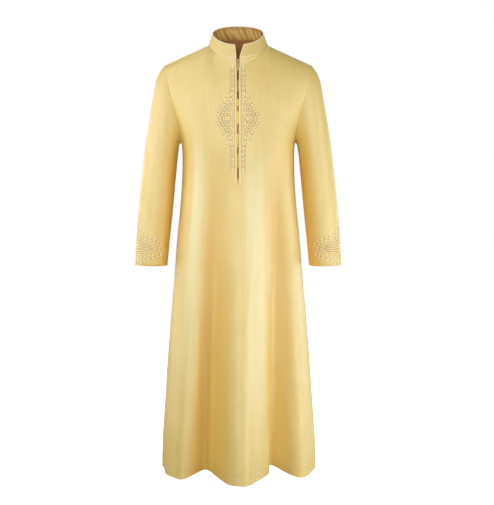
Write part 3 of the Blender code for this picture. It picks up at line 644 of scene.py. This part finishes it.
frontMiddle = len(uFront)
frontPiece, frontOuter = panelPiece("front", frontGrid, frontNormals, frontMiddle)
backPiece, backOuter = panelPiece("back", backGrid, backNormals, len(uBack) - 1)
print("panels made:", len(frontPiece.data.polygons), len(backPiece.data.polygons))
sleeveLeft, sleeveLeftOuter = sleevePiece("sleeveLeft", sleeveGrid, sleeveNormals, 31)
sleeveRight, sleeveRightOuter = sleevePiece("sleeveRight", otherSleeveGrid, otherSleeveNormals, 32)
print("sleeves made:", len(sleeveLeft.data.polygons))

# The stand collar, doubled cloth with a rounded top edge
collar = {"wall": 2.4, "innerLess": 0.4, "leftTurn": 13.5, "rightTurn": 7.6, "gap": 0.3, "bulge": 0.35,
          "flatBy": 5, "shade": (0.95, 0.7),
          "wrinkles": [
              (96, 46, 70, -8, 5, 7, 1.3), (80, 46, 54, -8, 5, 6, 1.9), (62, 46, 36, -8, 4, 7, 2.3),
              (46, 46, 14, -8, 5, 5, 1.8), (34, 44, -8, -2, 4, 6, 2.4), (14, 46, -14, -8, 5, 7, 1.7),
              (-4, 46, -30, -8, 4, 6, 2.3), (-26, 46, -44, -8, 4, 5, 1.8), (-38, 46, -60, -8, 4, 6, 2.4),
              (-58, 44, -76, -8, 5, 7, 1.6), (-76, 46, -92, -8, 5, 6, 1.8),
          ]}


def collarPiece():
    neck, reach = (len(steps[(steps > 0) & (steps <= 0.5 + 1e-9)]) for steps in (uFront, uBack))
    frontLeft = frontGrid[-1, frontMiddle + 1:frontMiddle + 1 + neck + 1]
    frontRight = frontGrid[-1, frontMiddle - neck:frontMiddle + 1]
    centre = len(uBack) - 1
    backPart = backGrid[-1, ::-1][centre - reach:centre + reach + 1][::-1]
    base = np.concatenate([frontLeft, backPart[1:-1], frontRight])
    turn = np.arctan2(base[:, 0] / neckBase["halfWidth"],
                      (neckMiddleY - base[:, 1]) / neckBase["halfDepth"]) % (2 * pi)
    topFirst, topLast = radians(collar["leftTurn"]), 2 * pi - radians(collar["rightTurn"])
    even = topFirst + (turn - turn[0]) * (topLast - topFirst) / (turn[-1] - turn[0])
    top = np.stack(neckOval(neckTop, even), -1)
    grid = base + (top - base) * np.linspace(0, 1, weave["collarRows"])[:, None, None]
    normals = sharedNormals([grid], (False,))[0]
    rise, across = alongRows(grid), alongColumns(grid)
    outer = pulledBack(grid, (firstRow,), collar["gap"])
    behind = across - across[:, len(frontLeft) + reach - 1][:, None]
    raised = creases(behind, rise, collar["wrinkles"])
    wall = collar["wall"] - collar["innerLess"] + raised * fadeFromEdge(rise[-1:] - rise, collar["flatBy"])
    inner = outer - normals * wall[..., None]
    # Painted shade on the collar's inner face, lighter where its wrinkles stand out; none on its outer face
    most, less = collar["shade"]
    made = clothWall("standCollar", outer, inner, np.stack([across, rise], -1), 0 * rise,
                     np.clip(most - less * raised, 0, 1), bulge=collar["bulge"])
    return made, outer, inner


collarPieceMade, collarOuter, collarInner = collarPiece()
collarNormals = unit(collarOuter - collarInner)
# The collar's two front ends: points, facing, and the way inwards from the edge
collarEnds = [(collarOuter[:, edge], collarNormals[:, edge],
               unit(collarOuter[:, inner] - collarOuter[:, edge])) for edge, inner in ((0, 1), (-1, -2))]
print("collar made")


# Rows of small things laid on the cloth
def valuesAt(at, lengths, rows):
    return np.stack([np.interp(at, lengths, column) for column in rows.T], -1)


# Even places along a line, with the ways along it and out of the cloth
def evenSteps(points, normals, step, inset=0.0):
    lengths = np.concatenate([[0], np.cumsum(np.linalg.norm(np.diff(points, axis=0), axis=1))])
    count = max(3, int(round((lengths[-1] - 2 * inset) / step)) + 1)
    at = np.linspace(inset, lengths[-1] - inset, count)
    places, outs = valuesAt(at, lengths, points), unit(valuesAt(at, lengths, normals))
    ways = unit(np.gradient(places, axis=0))
    return places, ways, unit(outs - ways * (outs * ways).sum(1, keepdims=True))


def resize(thing, width, length, height):
    thing.data.transform(Matrix.Diagonal((width * mm, length * mm, height * mm, 1)))


def startBlock(width, length, height):
    bpy.ops.object.select_all(action="DESELECT")
    bpy.ops.mesh.primitive_cube_add(size=1)
    resize(bpy.context.active_object, width, length, height)
    return bpy.context.active_object


def slide(thing, y, z):
    thing.data.transform(Matrix.Translation((0, y * mm, z * mm)))


# Cuts the whole of the active mesh across x (0) or y (1)
def cutAcross(axis, places):
    normal = Vector([float(k == axis) for k in range(3)])
    bpy.ops.object.mode_set(mode="EDIT")
    for place in places:
        bpy.ops.mesh.select_all(action="SELECT")
        bpy.ops.mesh.bisect(plane_co=normal * (place * mm), plane_no=normal)
    bpy.ops.object.mode_set(mode="OBJECT")


# Works on the faces that are wanted; each step is an operator and its settings
def editFaces(thing, wanted, steps):
    bpy.ops.object.mode_set(mode="EDIT")
    bpy.ops.mesh.select_mode(type="FACE")
    bpy.ops.mesh.select_all(action="DESELECT")
    bpy.ops.object.mode_set(mode="OBJECT")
    for face in thing.data.polygons:
        face.select = bool(wanted(face))
    bpy.ops.object.mode_set(mode="EDIT")
    for step, settings in steps:
        step(**settings)
    bpy.ops.object.mode_set(mode="OBJECT")


def roundEdges(thing, width, segments, angle=30):
    bevel = thing.modifiers.new("rounding", "BEVEL")
    bevel.width, bevel.segments, bevel.angle_limit = width * mm, segments, radians(angle)
    bevel.use_clamp_overlap = True
    bpy.ops.object.modifier_apply(modifier=bevel.name)


# Copies of one modelled thing: x across, y along the way, z out of the cloth
def copiesOf(name, master, places, ways, outs, finishes, finishOf=0, smoothAngle=40):
    base = np.array([v.co for v in master.data.vertices]) / mm
    faces = [tuple(p.vertices) for p in master.data.polygons]
    points = (places[:, None] + np.cross(ways, outs)[:, None] * base[None, :, :1]
              + ways[:, None] * base[None, :, 1:2] + outs[:, None] * base[None, :, 2:])
    mesh = newMesh(name, points.reshape(-1, 3),
                   [tuple(v + k * len(base) for v in face) for k in range(len(places)) for face in faces])
    kinds = np.repeat(finishOf + np.zeros(len(places), int), len(faces))
    mesh.polygons.foreach_set("material_index", kinds.astype(np.int32))
    bpy.data.objects.remove(master)
    return finishObject(mesh, finishes, smoothAngle)


# Wrapped thread or cord along paths of points and outward directions, sunk a little in the cloth
def threadWork(name, paths, width, height, step, finish, ridge=0.14, skew=0.4, sides=6, lift=0.0):
    points, faces, start = [], [], 0
    turn = 2 * pi * np.arange(sides) / sides
    for path, normals in paths:
        places, ways, outs = evenSteps(np.asarray(path), np.asarray(normals), step)
        count = len(places)
        ends = np.minimum(np.arange(count), np.arange(count)[::-1])
        scale = (1 - ridge * (np.arange(count) % 2)) * np.sqrt(np.clip((ends + 0.35) / 2.2, 0, 1))
        sideways = np.cos(turn)[None, :, None] * width / 2 * scale[:, None, None]
        upwards = np.sin(turn)[None, :, None] * height / 2 * scale[:, None, None] + lift
        rows = places[:, None] + np.cross(ways, outs)[:, None] * sideways + outs[:, None] * upwards
        points.append((rows + ways[:, None] * sideways * skew).reshape(-1, 3))
        ids = start + np.arange(count * sides)
        faces += (start + quadsOf(count, sides, True)[..., [0, 3, 2, 1]].reshape(-1, 4)).tolist()
        faces += [ids[:sides].tolist(), ids[-sides:][::-1].tolist()]
        start += count * sides
    return finishObject(newMesh(name, np.concatenate(points), faces), [finish], 70)


# The zip, mm.  A welt's roll is open at its top, where the slit widens to the neck
welt = {"inset": 0.2, "width": 5.0, "thick": 1.35, "points": 9, "lip": 0.7, "openAbove": (-80.0, -98.0),
        "high": 0.1, "low": -0.1, "cornerIn": 0.3}
tape = {"near": 2.75, "far": 14.0, "under": 1.6, "thick": 0.7}
tooth = {"outer": 2.3, "past": 0.62, "thick": 0.92, "deep": 1.9, "pitch": 1.45, "below": 1.25, "nose": 0.35,
         "noseInset": 0.22, "edge": 0.14, "topZ": -57.5}
# Heights, from and to, of the runs of teeth coloured dark brass
darkRuns = [(-79.8, -109.1), (-143.2, -166.1), (-187.2, -204.4), (-241.4, -271.3), (-310.2, -331.2),
            (-372, -405.1)]
paths = {}
for side, edge, step in (("right", frontMiddle, -1), ("left", frontMiddle + 1, 1)):
    points = frontOuter[slitFirstRow:, edge]
    across = unit(frontOuter[slitFirstRow:, edge + step] - points)
    paths[side] = {"points": points, "across": across, "outs": frontNormals[slitFirstRow:, edge]}
middleLine = (paths["left"]["points"] + paths["right"]["points"]) / 2
middleOuts = unit(paths["left"]["outs"] * (0, 1, 1))


# A strip beside the slit, its section given as distance from the edge and height over the cloth
def stripPiece(name, path, section, finish, trim=0, lip=0.0):
    base, across, outs = (path[key][trim:len(path["points"]) - trim] for key in ("points", "across", "outs"))
    top, low = welt["openAbove"]
    base = base - across * (lip * fadeFromEdge(top - base[:, 2:], top - low))
    loops = np.stack([base + across * away + outs * high for away, high in section], 1)
    count, size = loops.shape[:2]
    ids = np.arange(count * size)
    faces = [*quadsOf(count, size, True).reshape(-1, 4).tolist(), ids[:size][::-1].tolist(),
             ids[-size:].tolist()]
    if across[0, 0] <= 0:
        faces = [face[::-1] for face in faces]
    return finishObject(newMesh(name, loops.reshape(-1, 3), faces), [finish], 50)


def weltSection():
    near, wide = welt["inset"], welt["width"]
    top = [(near + wide / 2 - wide / 2 * cos(t), welt["high"] + welt["thick"] * sin(t) ** 0.8)
           for t in np.linspace(0, pi, welt["points"])]
    return top + [(near + wide - welt["cornerIn"], welt["low"]), (near + welt["cornerIn"], welt["low"])]


def tapeSection():
    near, far = tape["near"] - slitHalf[0][1], tape["far"] - slitHalf[0][1]
    high, low = -tape["under"], -tape["under"] - tape["thick"]
    return [(near, high), (far, high), (far, low), (near, low)]


welts = [stripPiece("welt" + side.capitalize(), paths[side], weltSection(), satinFold, lip=welt["lip"])
         for side in ("left", "right")]
tapes = [stripPiece("zipTape" + side.capitalize(), paths[side], tapeSection(), tapeTwill, trim=1)
         for side in ("left", "right")]


def modelTooth():
    thing = startBlock(tooth["outer"] + tooth["past"], tooth["thick"], tooth["deep"])
    outwards = {"value": (-tooth["nose"] * mm, 0, 0)}
    editFaces(thing, lambda face: face.normal.x < -0.9, [
        (bpy.ops.mesh.inset, {"thickness": tooth["noseInset"] * mm}),
        (bpy.ops.mesh.extrude_region_move, {"TRANSFORM_OT_translate": outwards})])
    roundEdges(thing, tooth["edge"], 1)
    return thing


def makeTeeth():
    below = middleLine[:, 2] < tooth["topZ"]
    places, ways, outs = evenSteps(middleLine[below], middleOuts[below], tooth["pitch"] / 2, 1.0)
    side = np.where(np.arange(len(places)) % 2 == 0, 1.0, -1.0)[:, None]
    reach = (tooth["outer"] - tooth["past"]) / 2
    places = places - outs * tooth["below"] + np.cross(ways, outs) * side * reach
    dark = np.zeros(len(places), int)
    for high, low in darkRuns:
        dark[(places[:, 2] < high) & (places[:, 2] > low)] = 1
    return copiesOf("zipTeeth", modelTooth(), places, ways * side, outs, [goldBrass, darkBrass], dark)


zipTeeth = makeTeeth()
print("zip chain made:", len(zipTeeth.data.polygons))

slider = {"width": 7.6, "length": 11.0, "thick": 1.6, "taper": 0.7, "rim": 1.0, "sunk": 0.3, "edge": 0.45,
          "foot": (3.4, 9.0, 2.2), "footIn": 0.1, "footEdge": 0.3}
bridge = {"width": 1.7, "length": 8.0, "thick": 0.9, "rise": 4.5, "cuts": 8, "seat": 0.25, "curve": 2.6,
          "endThin": 0.35, "innerLess": 0.86, "edge": 0.28}
pull = {"width": 6.4, "thick": 1.1, "length": 24.0, "eyeWidth": 3.2, "eyeLength": 6.2, "eyeBar": 1.2,
        "neck": 2.2, "axisUp": 0.13, "axisRise": 2.15, "cuts": (-12, -16, -20, -22.2), "panel": (-23, -10),
        "panelInset": 0.7, "panelThin": 0.6, "edge": 0.22}


def sliderMatrix():
    k = int((middleLine[:, 2] < sliderZ).sum())
    low, step = middleLine[k - 1], middleLine[k] - middleLine[k - 1]
    up, across = Vector(step).normalized(), Vector((1, 0, 0))
    made = Matrix((across, up, across.cross(up))).transposed().to_4x4()
    made.translation = Vector(low + step * (sliderZ - low[2]) / step[2]) * mm
    return made


def placeModel(thing, matrix, name):
    thing.data.transform(matrix)
    thing.name = thing.data.name = name
    dressMesh(thing.data, [antiqueBrass], 35)
    return thing


# The arch over the plate that holds the pull
def modelBridge():
    arch = startBlock(bridge["width"], bridge["length"], bridge["thick"])
    cutAcross(1, [(k / bridge["cuts"] - 0.5) * bridge["length"] for k in range(1, bridge["cuts"])])
    for vertex in arch.data.vertices:
        t = abs(vertex.co.y / mm / (bridge["length"] / 2))
        lift = (bridge["rise"] - bridge["thick"]) * (1 - t ** bridge["curve"])
        inner = vertex.co.z < 0
        thin = bridge["endThin"] * t if inner else 0
        vertex.co.z += (slider["thick"] + bridge["seat"] + lift - thin) * mm
        if inner:
            vertex.co.y *= bridge["innerLess"]
    roundEdges(arch, bridge["edge"], 2, 40)
    return arch


def modelSlider():
    plate = startBlock(slider["width"], slider["length"], slider["thick"])
    for vertex in plate.data.vertices:
        if vertex.co.y < 0:
            vertex.co.x *= slider["taper"]
    editFaces(plate, lambda face: face.normal.z > 0.9, [
        (bpy.ops.mesh.inset, {"thickness": slider["rim"] * mm}),
        (bpy.ops.transform.translate, {"value": (0, 0, -slider["sunk"] * mm)})])
    roundEdges(plate, slider["edge"], 3)
    slide(plate, 0, slider["thick"] / 2)
    foot = startBlock(*slider["foot"])
    roundEdges(foot, slider["footEdge"], 2)
    slide(foot, 0, slider["footIn"] - slider["foot"][2] / 2)
    modelBridge()
    for part in (plate, foot):
        part.select_set(True)
    bpy.context.view_layer.objects.active = plate
    bpy.ops.object.join()
    return plate


# The pull: a flat tab with an eye at its top, narrower at its neck, a raised rim all round
def modelPull():
    eyeHalf, eyeTop = pull["eyeWidth"] / 2, -pull["thick"] / 2
    eyeLow = eyeTop - pull["eyeLength"]
    tab = startBlock(pull["width"], pull["length"], pull["thick"])
    slide(tab, -eyeTop - pull["length"] / 2, 0)
    cutAcross(0, (-eyeHalf, eyeHalf))
    cutAcross(1, (eyeTop, eyeTop - pull["eyeBar"], eyeLow + pull["eyeBar"], eyeLow, eyeLow - pull["neck"],
                  *pull["cuts"]))
    editFaces(tab, lambda face: abs(face.normal.z) > 0.9 and abs(face.center.x) < eyeHalf * mm
              and eyeLow * mm < face.center.y < eyeTop * mm, [(bpy.ops.mesh.bridge_edge_loops, {})])
    for vertex in tab.data.vertices:
        y = vertex.co.y / mm
        if abs(vertex.co.x) > (eyeHalf + 0.2) * mm:
            waist = 1 - 0.16 * np.exp(-((y + 9.0) / 2.2) ** 2)
            tip = 1 - 0.42 * max(0, (-y - 21.0) / 2.6) ** 2
            crown = 1 - 0.2 * max(0, (y + 1.0) / 1.6) ** 2
            vertex.co.x *= waist * tip * crown
    low, high = pull["panel"]
    editFaces(tab, lambda face: abs(face.normal.z) > 0.9 and low * mm < face.center.y < high * mm, [
        (bpy.ops.mesh.inset, {"thickness": pull["panelInset"] * mm}),
        (bpy.ops.transform.resize, {"value": (1, 1, pull["panelThin"]), "center_override": (0, 0, 0)})])
    roundEdges(tab, pull["edge"], 2, 35)
    return tab


sliderPlace = sliderMatrix()
zipSlider = placeModel(modelSlider(), sliderPlace, "zipSlider")
toAxis = Vector((0, pull["axisUp"], slider["thick"] + pull["axisRise"]))
pullTab = placeModel(modelPull(), sliderPlace @ Matrix.Translation(toAxis * mm), "pullTab")
print("slider and pull made")

# Sewing: one stitch modelled, then copied along every seam line, mm
stitch = {"length": 2.3, "gap": 1.0, "wide": 0.62, "high": 0.5, "inset": 1.2}
seams = {"placket": 6.2, "end": (8.0, -423.5, -431.0), "endOver": 4, "collar": 2.6, "collarBase": 2.0}
# Piping: a fine cord folded into the collar's edges, and the neck seam's raised roll
piping = {"edge": 2.2, "neck": 1.7, "step": 2.4, "sunk": 0.35, "past": 0.25}
# Where lines are cast from on to the front panel, well in front of it
castFrom = -400


def modelStitch():
    bpy.ops.mesh.primitive_uv_sphere_add(segments=6, ring_count=4, radius=0.5)
    thing = bpy.context.active_object
    thing.data.transform(Matrix.Rotation(pi / 2, 4, "X"))
    resize(thing, stitch["wide"], stitch["length"], stitch["high"])
    return thing


# The line at one distance from a grid's last row, or from its first
def rowAt(outer, normals, distance, fromLast=True):
    length = alongRows(outer)
    places = length[-1] - distance if fromLast else np.full(outer.shape[1], distance)
    both = np.concatenate([outer, normals], -1)
    found = np.array([valuesAt(place, length[:, j], both[:, j]) for j, place in enumerate(places)])
    return found[:, :3], unit(found[:, 3:])


frontTree = BVHTree.FromPolygons(frontOuter.reshape(-1, 3).tolist(),
                                 quadsOf(*frontOuter.shape[:2]).reshape(-1, 4).tolist())


# Points drawn as x and z, laid on the front panel
def onFront(flat):
    found, outs = [], []
    for x, z in flat:
        place, normal, index, away = frontTree.ray_cast(Vector((x, castFrom, z)), Vector((0, 1, 0)))
        if place is not None:
            found.append(tuple(place))
            outs.append(tuple(normal))
    outs = np.array(outs)
    for _ in range(4):
        outs[1:-1] = unit(outs[:-2] + 2 * outs[1:-1] + outs[2:])
    return np.array(found), outs


def stitchLines():
    lines = [rowAt(frontOuter, frontNormals, skin["hemFold"], False),
             rowAt(backOuter, backNormals, skin["hemFold"], False)]
    for outer, normals in ((sleeveLeftOuter, sleeveNormals), (sleeveRightOuter, otherSleeveNormals)):
        lines.append([np.concatenate([part, part[:1]]) for part in rowAt(outer, normals, skin["cuffFold"])])
    for path in (paths["left"], paths["right"]):
        lines.append(onFront((path["points"] + path["across"] * seams["placket"])[4:-1, [0, 2]]))
    half, high, low = seams["end"]
    box = [(-half, high + seams["endOver"]), (-half, high), (-half, low), (half, low), (half, high),
           (half, high + seams["endOver"])]
    cross = [(box[1], box[3], 8), (box[4], box[2], 8)]
    for start, end, count in [(*ends, 6) for ends in zip(box, box[1:])] + cross:
        lines.append(onFront(np.linspace(start, end, count)))
    top, topOuts = rowAt(collarOuter, collarNormals, seams["collar"])
    lines += [(top[2:-2], topOuts[2:-2]), rowAt(collarOuter, collarNormals, seams["collarBase"], False)]
    for edge, outs, inward in collarEnds:
        lines.append(((edge + inward * seams["collar"])[1:-1], outs[1:-1]))
    return lines


def sewAll():
    step = stitch["length"] + stitch["gap"]
    rows = zip(*(evenSteps(points, normals, step, stitch["inset"]) for points, normals in stitchLines()))
    return copiesOf("seamStitches", modelStitch(), *(np.concatenate(part) for part in rows), [sewingThread],
                    smoothAngle=80)


seamStitches = sewAll()
print("stitches sewn:", len(seamStitches.data.polygons))


# One line up the collar's left end, along its top and down its right end
def collarRim():
    up = unit(collarOuter[-1] - collarOuter[-2])
    top = collarOuter[-1] - collarNormals[-1] * piping["sunk"] + up * piping["past"]
    left, right = ((edge - outs * piping["sunk"] - inward * piping["past"], -inward)
                   for edge, outs, inward in collarEnds)
    return [np.concatenate([a[:-1], middle, b[:-1][::-1]]) for a, middle, b in zip(left, (top, up), right)]


neckLine = collarOuter[0] + collarNormals[0] * 0.1, collarNormals[0]
edgePiping, neckRoll = (
    threadWork(name, [path], width, width, piping["step"], pipingSatin, ridge=0.03, skew=0.0, sides=8)
    for name, path, width in (("collarPiping", collarRim(), piping["edge"]),
                              ("neckSeamRoll", neckLine, piping["neck"])))
print("piping made")

# Embroidery, a scrolling lozenge of the workshop's own drawing, mm from its middle.
# Threads: width, height, step
ornament = {"pale": (1.7, 1.1, 1.1), "tan": (1.15, 0.85, 1.1), "fine": (1.3, 0.9, 1.2),
            "float": (2.3, 1.3, 1.3), "lift": 0.1, "middleZ": -225.0,
            "edgeZ": (0, 9, 20, 34, 46, 62, 78), "edgeX": (68, 66, 58, 47, 38, 31, 25)}
lozenge = {"near": 16.5, "rows": 11, "firstZ": 4.2, "rowStep": 7.3, "columns": 7, "columnStep": 8.2,
           "jitter": (1.7, 1.5, 1, 60), "bigCurl": (22.5, 57), "clear": 8.5}
# The cuff's lozenge has a fan of long satin floats in its middle.  Curls: x, z, size, turn, way;
# leaves: x, z, turn
cuffMotif = {"ring": 11.4, "ringStep": 88.0, "around": 49.0, "floats": 6, "spacing": 7.8, "start": 22.0,
             "reach": 92.0, "middle": (268.0, -24.0)}
cuffCurls = [(100, 4.5, 4.0, 120, 1), (93, 12, 3.4, 60, -1), (83, 18, 3.8, 150, 1), (109, 9, 3.2, 40, -1),
             (71, 23, 4.0, 220, -1), (58, 27, 3.6, 300, 1), (45, 30, 4.0, 30, -1), (33, 36, 4.2, 80, -1),
             (20, 31, 3.8, 200, 1), (9, 30, 3.6, 260, -1), (20, 44, 4.0, 120, -1), (8, 44, 3.4, 20, 1),
             (15, 56, 3.8, 70, 1), (6, 64, 3.0, 150, -1), (5, 6, 3.8, 0, 1), (14, 12, 3.4, 90, -1),
             (5, 18, 3.2, 180, -1)]
cuffLeaves = [(104, 15, 50), (92, 20, 40), (80, 26, 45), (67, 31, 55), (54, 36, 60), (44, 44, 60),
              (31, 50, 70), (24, 62, 75)]


def volute(x, z, outerR, innerR, startTurn, endTurn):
    turn = np.radians(np.linspace(startTurn, endTurn, max(10, int(abs(endTurn - startTurn) / 20))))
    reach = outerR + (innerR - outerR) * np.linspace(0, 1, len(turn)) ** 0.8
    return np.stack([x + reach * np.cos(turn), z + reach * np.sin(turn)], 1)


def leaf(x, z, turn, length, width):
    t = np.linspace(0, 1, 7)
    bow = width / 2 * np.sin(pi * t) ** 0.8
    along, aside = np.append(t, t[-2::-1]) * length, np.append(bow, -bow[-2::-1])
    a = radians(turn)
    return np.stack([x + along * cos(a) - aside * sin(a), z + along * sin(a) + aside * cos(a)], 1)


# A curl: one pale spiral and a tan strand round its outside, partly its outline and partly painted shade
def curl(x, z, size, turn, way):
    return (volute(x, z, size, size * 0.18, turn, turn + way * 500),
            volute(x, z, size * 1.0 + 1.6, size * 0.75 + 1.4, turn - way * 15, turn + way * 230))


# One quarter of the lozenge, x outwards and z up: curls in staggered rows, each a little different
def lozengeQuarter():
    dice = np.random.default_rng(12)
    bigX, bigZ = lozenge["bigCurl"]
    pale, tan = [volute(bigX, bigZ, 5.4, 1.0, 250, -250)], [volute(bigX, bigZ, 7.0, 6.2, 230, 20)]
    for j in range(lozenge["rows"]):
        z = lozenge["firstZ"] + lozenge["rowStep"] * j
        edge = np.interp(z, ornament["edgeZ"], ornament["edgeX"])
        for i in range(lozenge["columns"]):
            x = lozenge["near"] + 2.5 + lozenge["columnStep"] * i + lozenge["columnStep"] / 2 * (j % 2)
            dx, dz, grow, spin = dice.uniform(-1, 1, 4) * lozenge["jitter"]
            if x > edge - 2 or np.hypot(x - bigX, z - bigZ) < lozenge["clear"]:
                continue
            turn = i * 75 + j * 130 + spin
            spiral, shadow = curl(x + dx, z + dz, 3.3 + 0.8 * grow, turn, 1 if (i + j) % 2 else -1)
            pale.append(spiral)
            tan.append(shadow)
            if x + lozenge["columnStep"] > edge - 2:
                pale.append(leaf(x + 4.6, z + 1.0, 28 + 9 * (j % 3), 6.5, 2.6))
                tan.append(leaf(x + 4.0, z + 4.0, 50 + 9 * (j % 3), 5.0, 1.8))
            else:
                tan.append(leaf(x + 3.6, z + 2.4, turn + 40, 3.2, 1.5))
    return pale, tan


# The narrow stem above the lozenge, between its two border cords
def stemQuarter():
    pale, tan = [], []
    for k in range(11):
        z, odd = 76 + 7.6 * k, k % 2
        spiral, shadow = curl(15.8 + (0.8 if odd else -0.8), z, 2.3, 270 if odd else 90, -1 if odd else 1)
        pale.append(spiral)
        tan.append(shadow if odd else leaf(17.6, z + 2.5, 80 + 30 * odd, 5.0, 2.0))
    return pale, tan


def mirrored(lines, z=True):
    sets = [(1, 1), (-1, 1)] + ([(1, -1), (-1, -1)] if z else [])
    return [line * np.array(signs) for signs in sets for line in lines]


def cordLine(x, low, high):
    z = np.linspace(low, high, 60)
    return np.stack([np.full_like(z, x) + 0.25 * np.sin(z / 3.1), z], 1)


def chestEmbroidery():
    pale, tan = lozengeQuarter()
    stemPale, stemTan = stemQuarter()
    tip = volute(15.7, 158, 4.2, 0.9, 180, -260)
    # A tan cord runs beside each pale border cord, painted shade
    fine = mirrored([cordLine(12.4, -160, 160)], z=False) + mirrored([cordLine(20.2, 74, 157)])
    shade = mirrored([cordLine(10.9, -160, 160)], z=False) + mirrored([cordLine(21.6, 76, 155)])
    pieces = {"Pale": mirrored(pale + stemPale + [tip]), "Tan": mirrored(tan + stemTan) + shade, "Fine": fine}
    down = (0, ornament["middleZ"])
    return {kind: [onFront(line + down) for line in lines] for kind, lines in pieces.items()}


# Points drawn as x round the sleeve and z up it, laid on the cuff's outer side
def onSleeve(flat, side):
    ring = cuffMotif["ring"] - flat[:, 1] / cuffMotif["ringStep"]
    psi = flat[:, 0] / cuffMotif["around"]
    points = sleevePoints(ring, psi)
    outs = unit(np.cross(sleevePoints(ring + 1e-3, psi) - points, sleevePoints(ring, psi + 1e-3) - points))
    facing = ((points[:, :2] - cuffMotif["middle"]) * outs[:, :2]).sum(1)
    outs = outs * np.sign(facing)[:, None]
    return points * (side, 1, 1), outs * (side, 1, 1)


def cuffEmbroidery(side):
    floats, between = [], []
    for k in range(cuffMotif["floats"]):
        turn = k - (cuffMotif["floats"] - 1) / 2
        x = np.linspace(cuffMotif["start"], cuffMotif["reach"] - 7 * abs(turn), 24)
        narrowing = 1.12 - 0.84 * (x / cuffMotif["reach"]) ** 1.7
        middle, low, high = (np.stack([x, (turn + shift) * cuffMotif["spacing"] * narrowing], 1)
                             for shift in (0, -0.32, 0.32))
        floats.append(middle)
        # Tan strands between the floats: painted shade
        between += [low[1:-1], high[1:-1]]
    pale, tan = (list(lines) for lines in zip(*(curl(*row) for row in cuffCurls)))
    pale += [leaf(x, z, turn, 7.0, 2.8) for x, z, turn in cuffLeaves]
    tan += [leaf(x - 3.5, z + 1.5, turn + 15, 5.5, 2.0) for x, z, turn in cuffLeaves]
    zigzag = [np.stack([x + np.tile((-1.8, 1.8), 11), np.linspace(22, 58, 22)], 1) for x in (25.0, 31.0)]
    pieces = {"Pale": mirrored(pale), "Tan": mirrored(tan + zigzag[:1]) + mirrored(between, z=False),
              "Fine": mirrored(floats, z=False) + mirrored(zigzag[1:])}
    return {kind: [onSleeve(line, side) for line in lines] for kind, lines in pieces.items()}


embroidery = []
for place, work in (("chest", chestEmbroidery()), ("cuffLeft", cuffEmbroidery(1)),
                    ("cuffRight", cuffEmbroidery(-1))):
    for kind, finish in (("Pale", rayonPale), ("Tan", rayonTan), ("Fine", rayonPale)):
        sizes = ornament["float" if place != "chest" and kind == "Fine" else kind.lower()]
        lines = [line for line in work[kind] if len(line[0]) > 2]
        made = threadWork(place + kind + "Embroidery", lines, *sizes, finish, lift=ornament["lift"])
        embroidery.append(made)
        print("embroidered", made.name, len(made.data.polygons))

for piece, node, slot in ((frontPiece, "front_panel", "satin"), (backPiece, "back_panel", "satin"),
                          (sleeveLeft, "sleeve_left", "satin"), (sleeveRight, "sleeve_right", "satin"),
                          (collarPieceMade, "collar", "satin"), (welts[0], "welt_left", "satin_edge"),
                          (welts[1], "welt_right", "satin_edge"), (tapes[0], "zip_tape_left", "zip_tape"),
                          (tapes[1], "zip_tape_right", "zip_tape"), (zipTeeth, "zip_chain", "zip_metal"),
                          (zipSlider, "zip_slider", "zip_metal"), (pullTab, "pull_tab", "zip_metal")):
    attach(piece, "pull_tab" if piece is pullTab else "robe")
    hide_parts(node)
for piece in (seamStitches, edgePiping, neckRoll, *embroidery):
    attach(piece, "robe")


def makeStudio():
    bpy.ops.mesh.primitive_plane_add(size=studio["floorSide"], location=(0, 0, studio["floorZ"]))
    floor = bpy.context.active_object
    bpy.ops.mesh.primitive_uv_sphere_add(segments=48, ring_count=24, radius=studio["domeRadius"])
    dome = bpy.context.active_object
    for thing, name, finish, colour, gloss in ((floor, "floor", "matteWhiteFloor", "EDEDEC", 0.5),
                                               (dome, "backdrop", "whiteBackdrop", "000000", 0.0)):
        thing.name = name
        thing.data.materials.append(newMaterial(
            finish, Roughness=0.9, Base_Color=hexColour(colour), Specular_IOR_Level=gloss,
            Emission_Color=(1, 1, 1, 1), Emission_Strength=1.0)[0])
        thing.visible_diffuse = thing.visible_glossy = thing.visible_shadow = False
    dome.visible_transmission = False
    for k, (ring, azimuth, rise, strength) in enumerate(lights["places"]):
        distance, side, height, watts = lights["rings"][ring]
        data = bpy.data.lights.new("softLight%d" % k, "AREA")
        data.size, data.energy = side, watts * strength
        a, e = radians(azimuth), radians(rise)
        way = Vector((sin(a) * cos(e), -cos(a) * cos(e), sin(e)))
        aimAt(data, Vector((0, 0, height)) + distance * way, (0, 0, height))
    world = bpy.data.worlds.new("studioAir")
    bpy.context.scene.world = world
    world.use_nodes = True
    world.node_tree.nodes["Background"].inputs["Strength"].default_value = 0.0
    data = bpy.data.cameras.new("camera")
    data.lens, data.sensor_width = camera["lens"], 36
    bpy.context.scene.camera = aimAt(data, camera["place"], camera["aim"])
    bpy.context.scene.view_settings.view_transform = "Standard"


def aimAt(data, place, aim):
    thing = bpy.data.objects.new(data.name, data)
    thing.location = place
    thing.rotation_euler = (Vector(aim) - thing.location).to_track_quat("-Z", "Y").to_euler()
    bpy.context.scene.collection.objects.link(thing)
    return thing


makeStudio()
print("studio made")
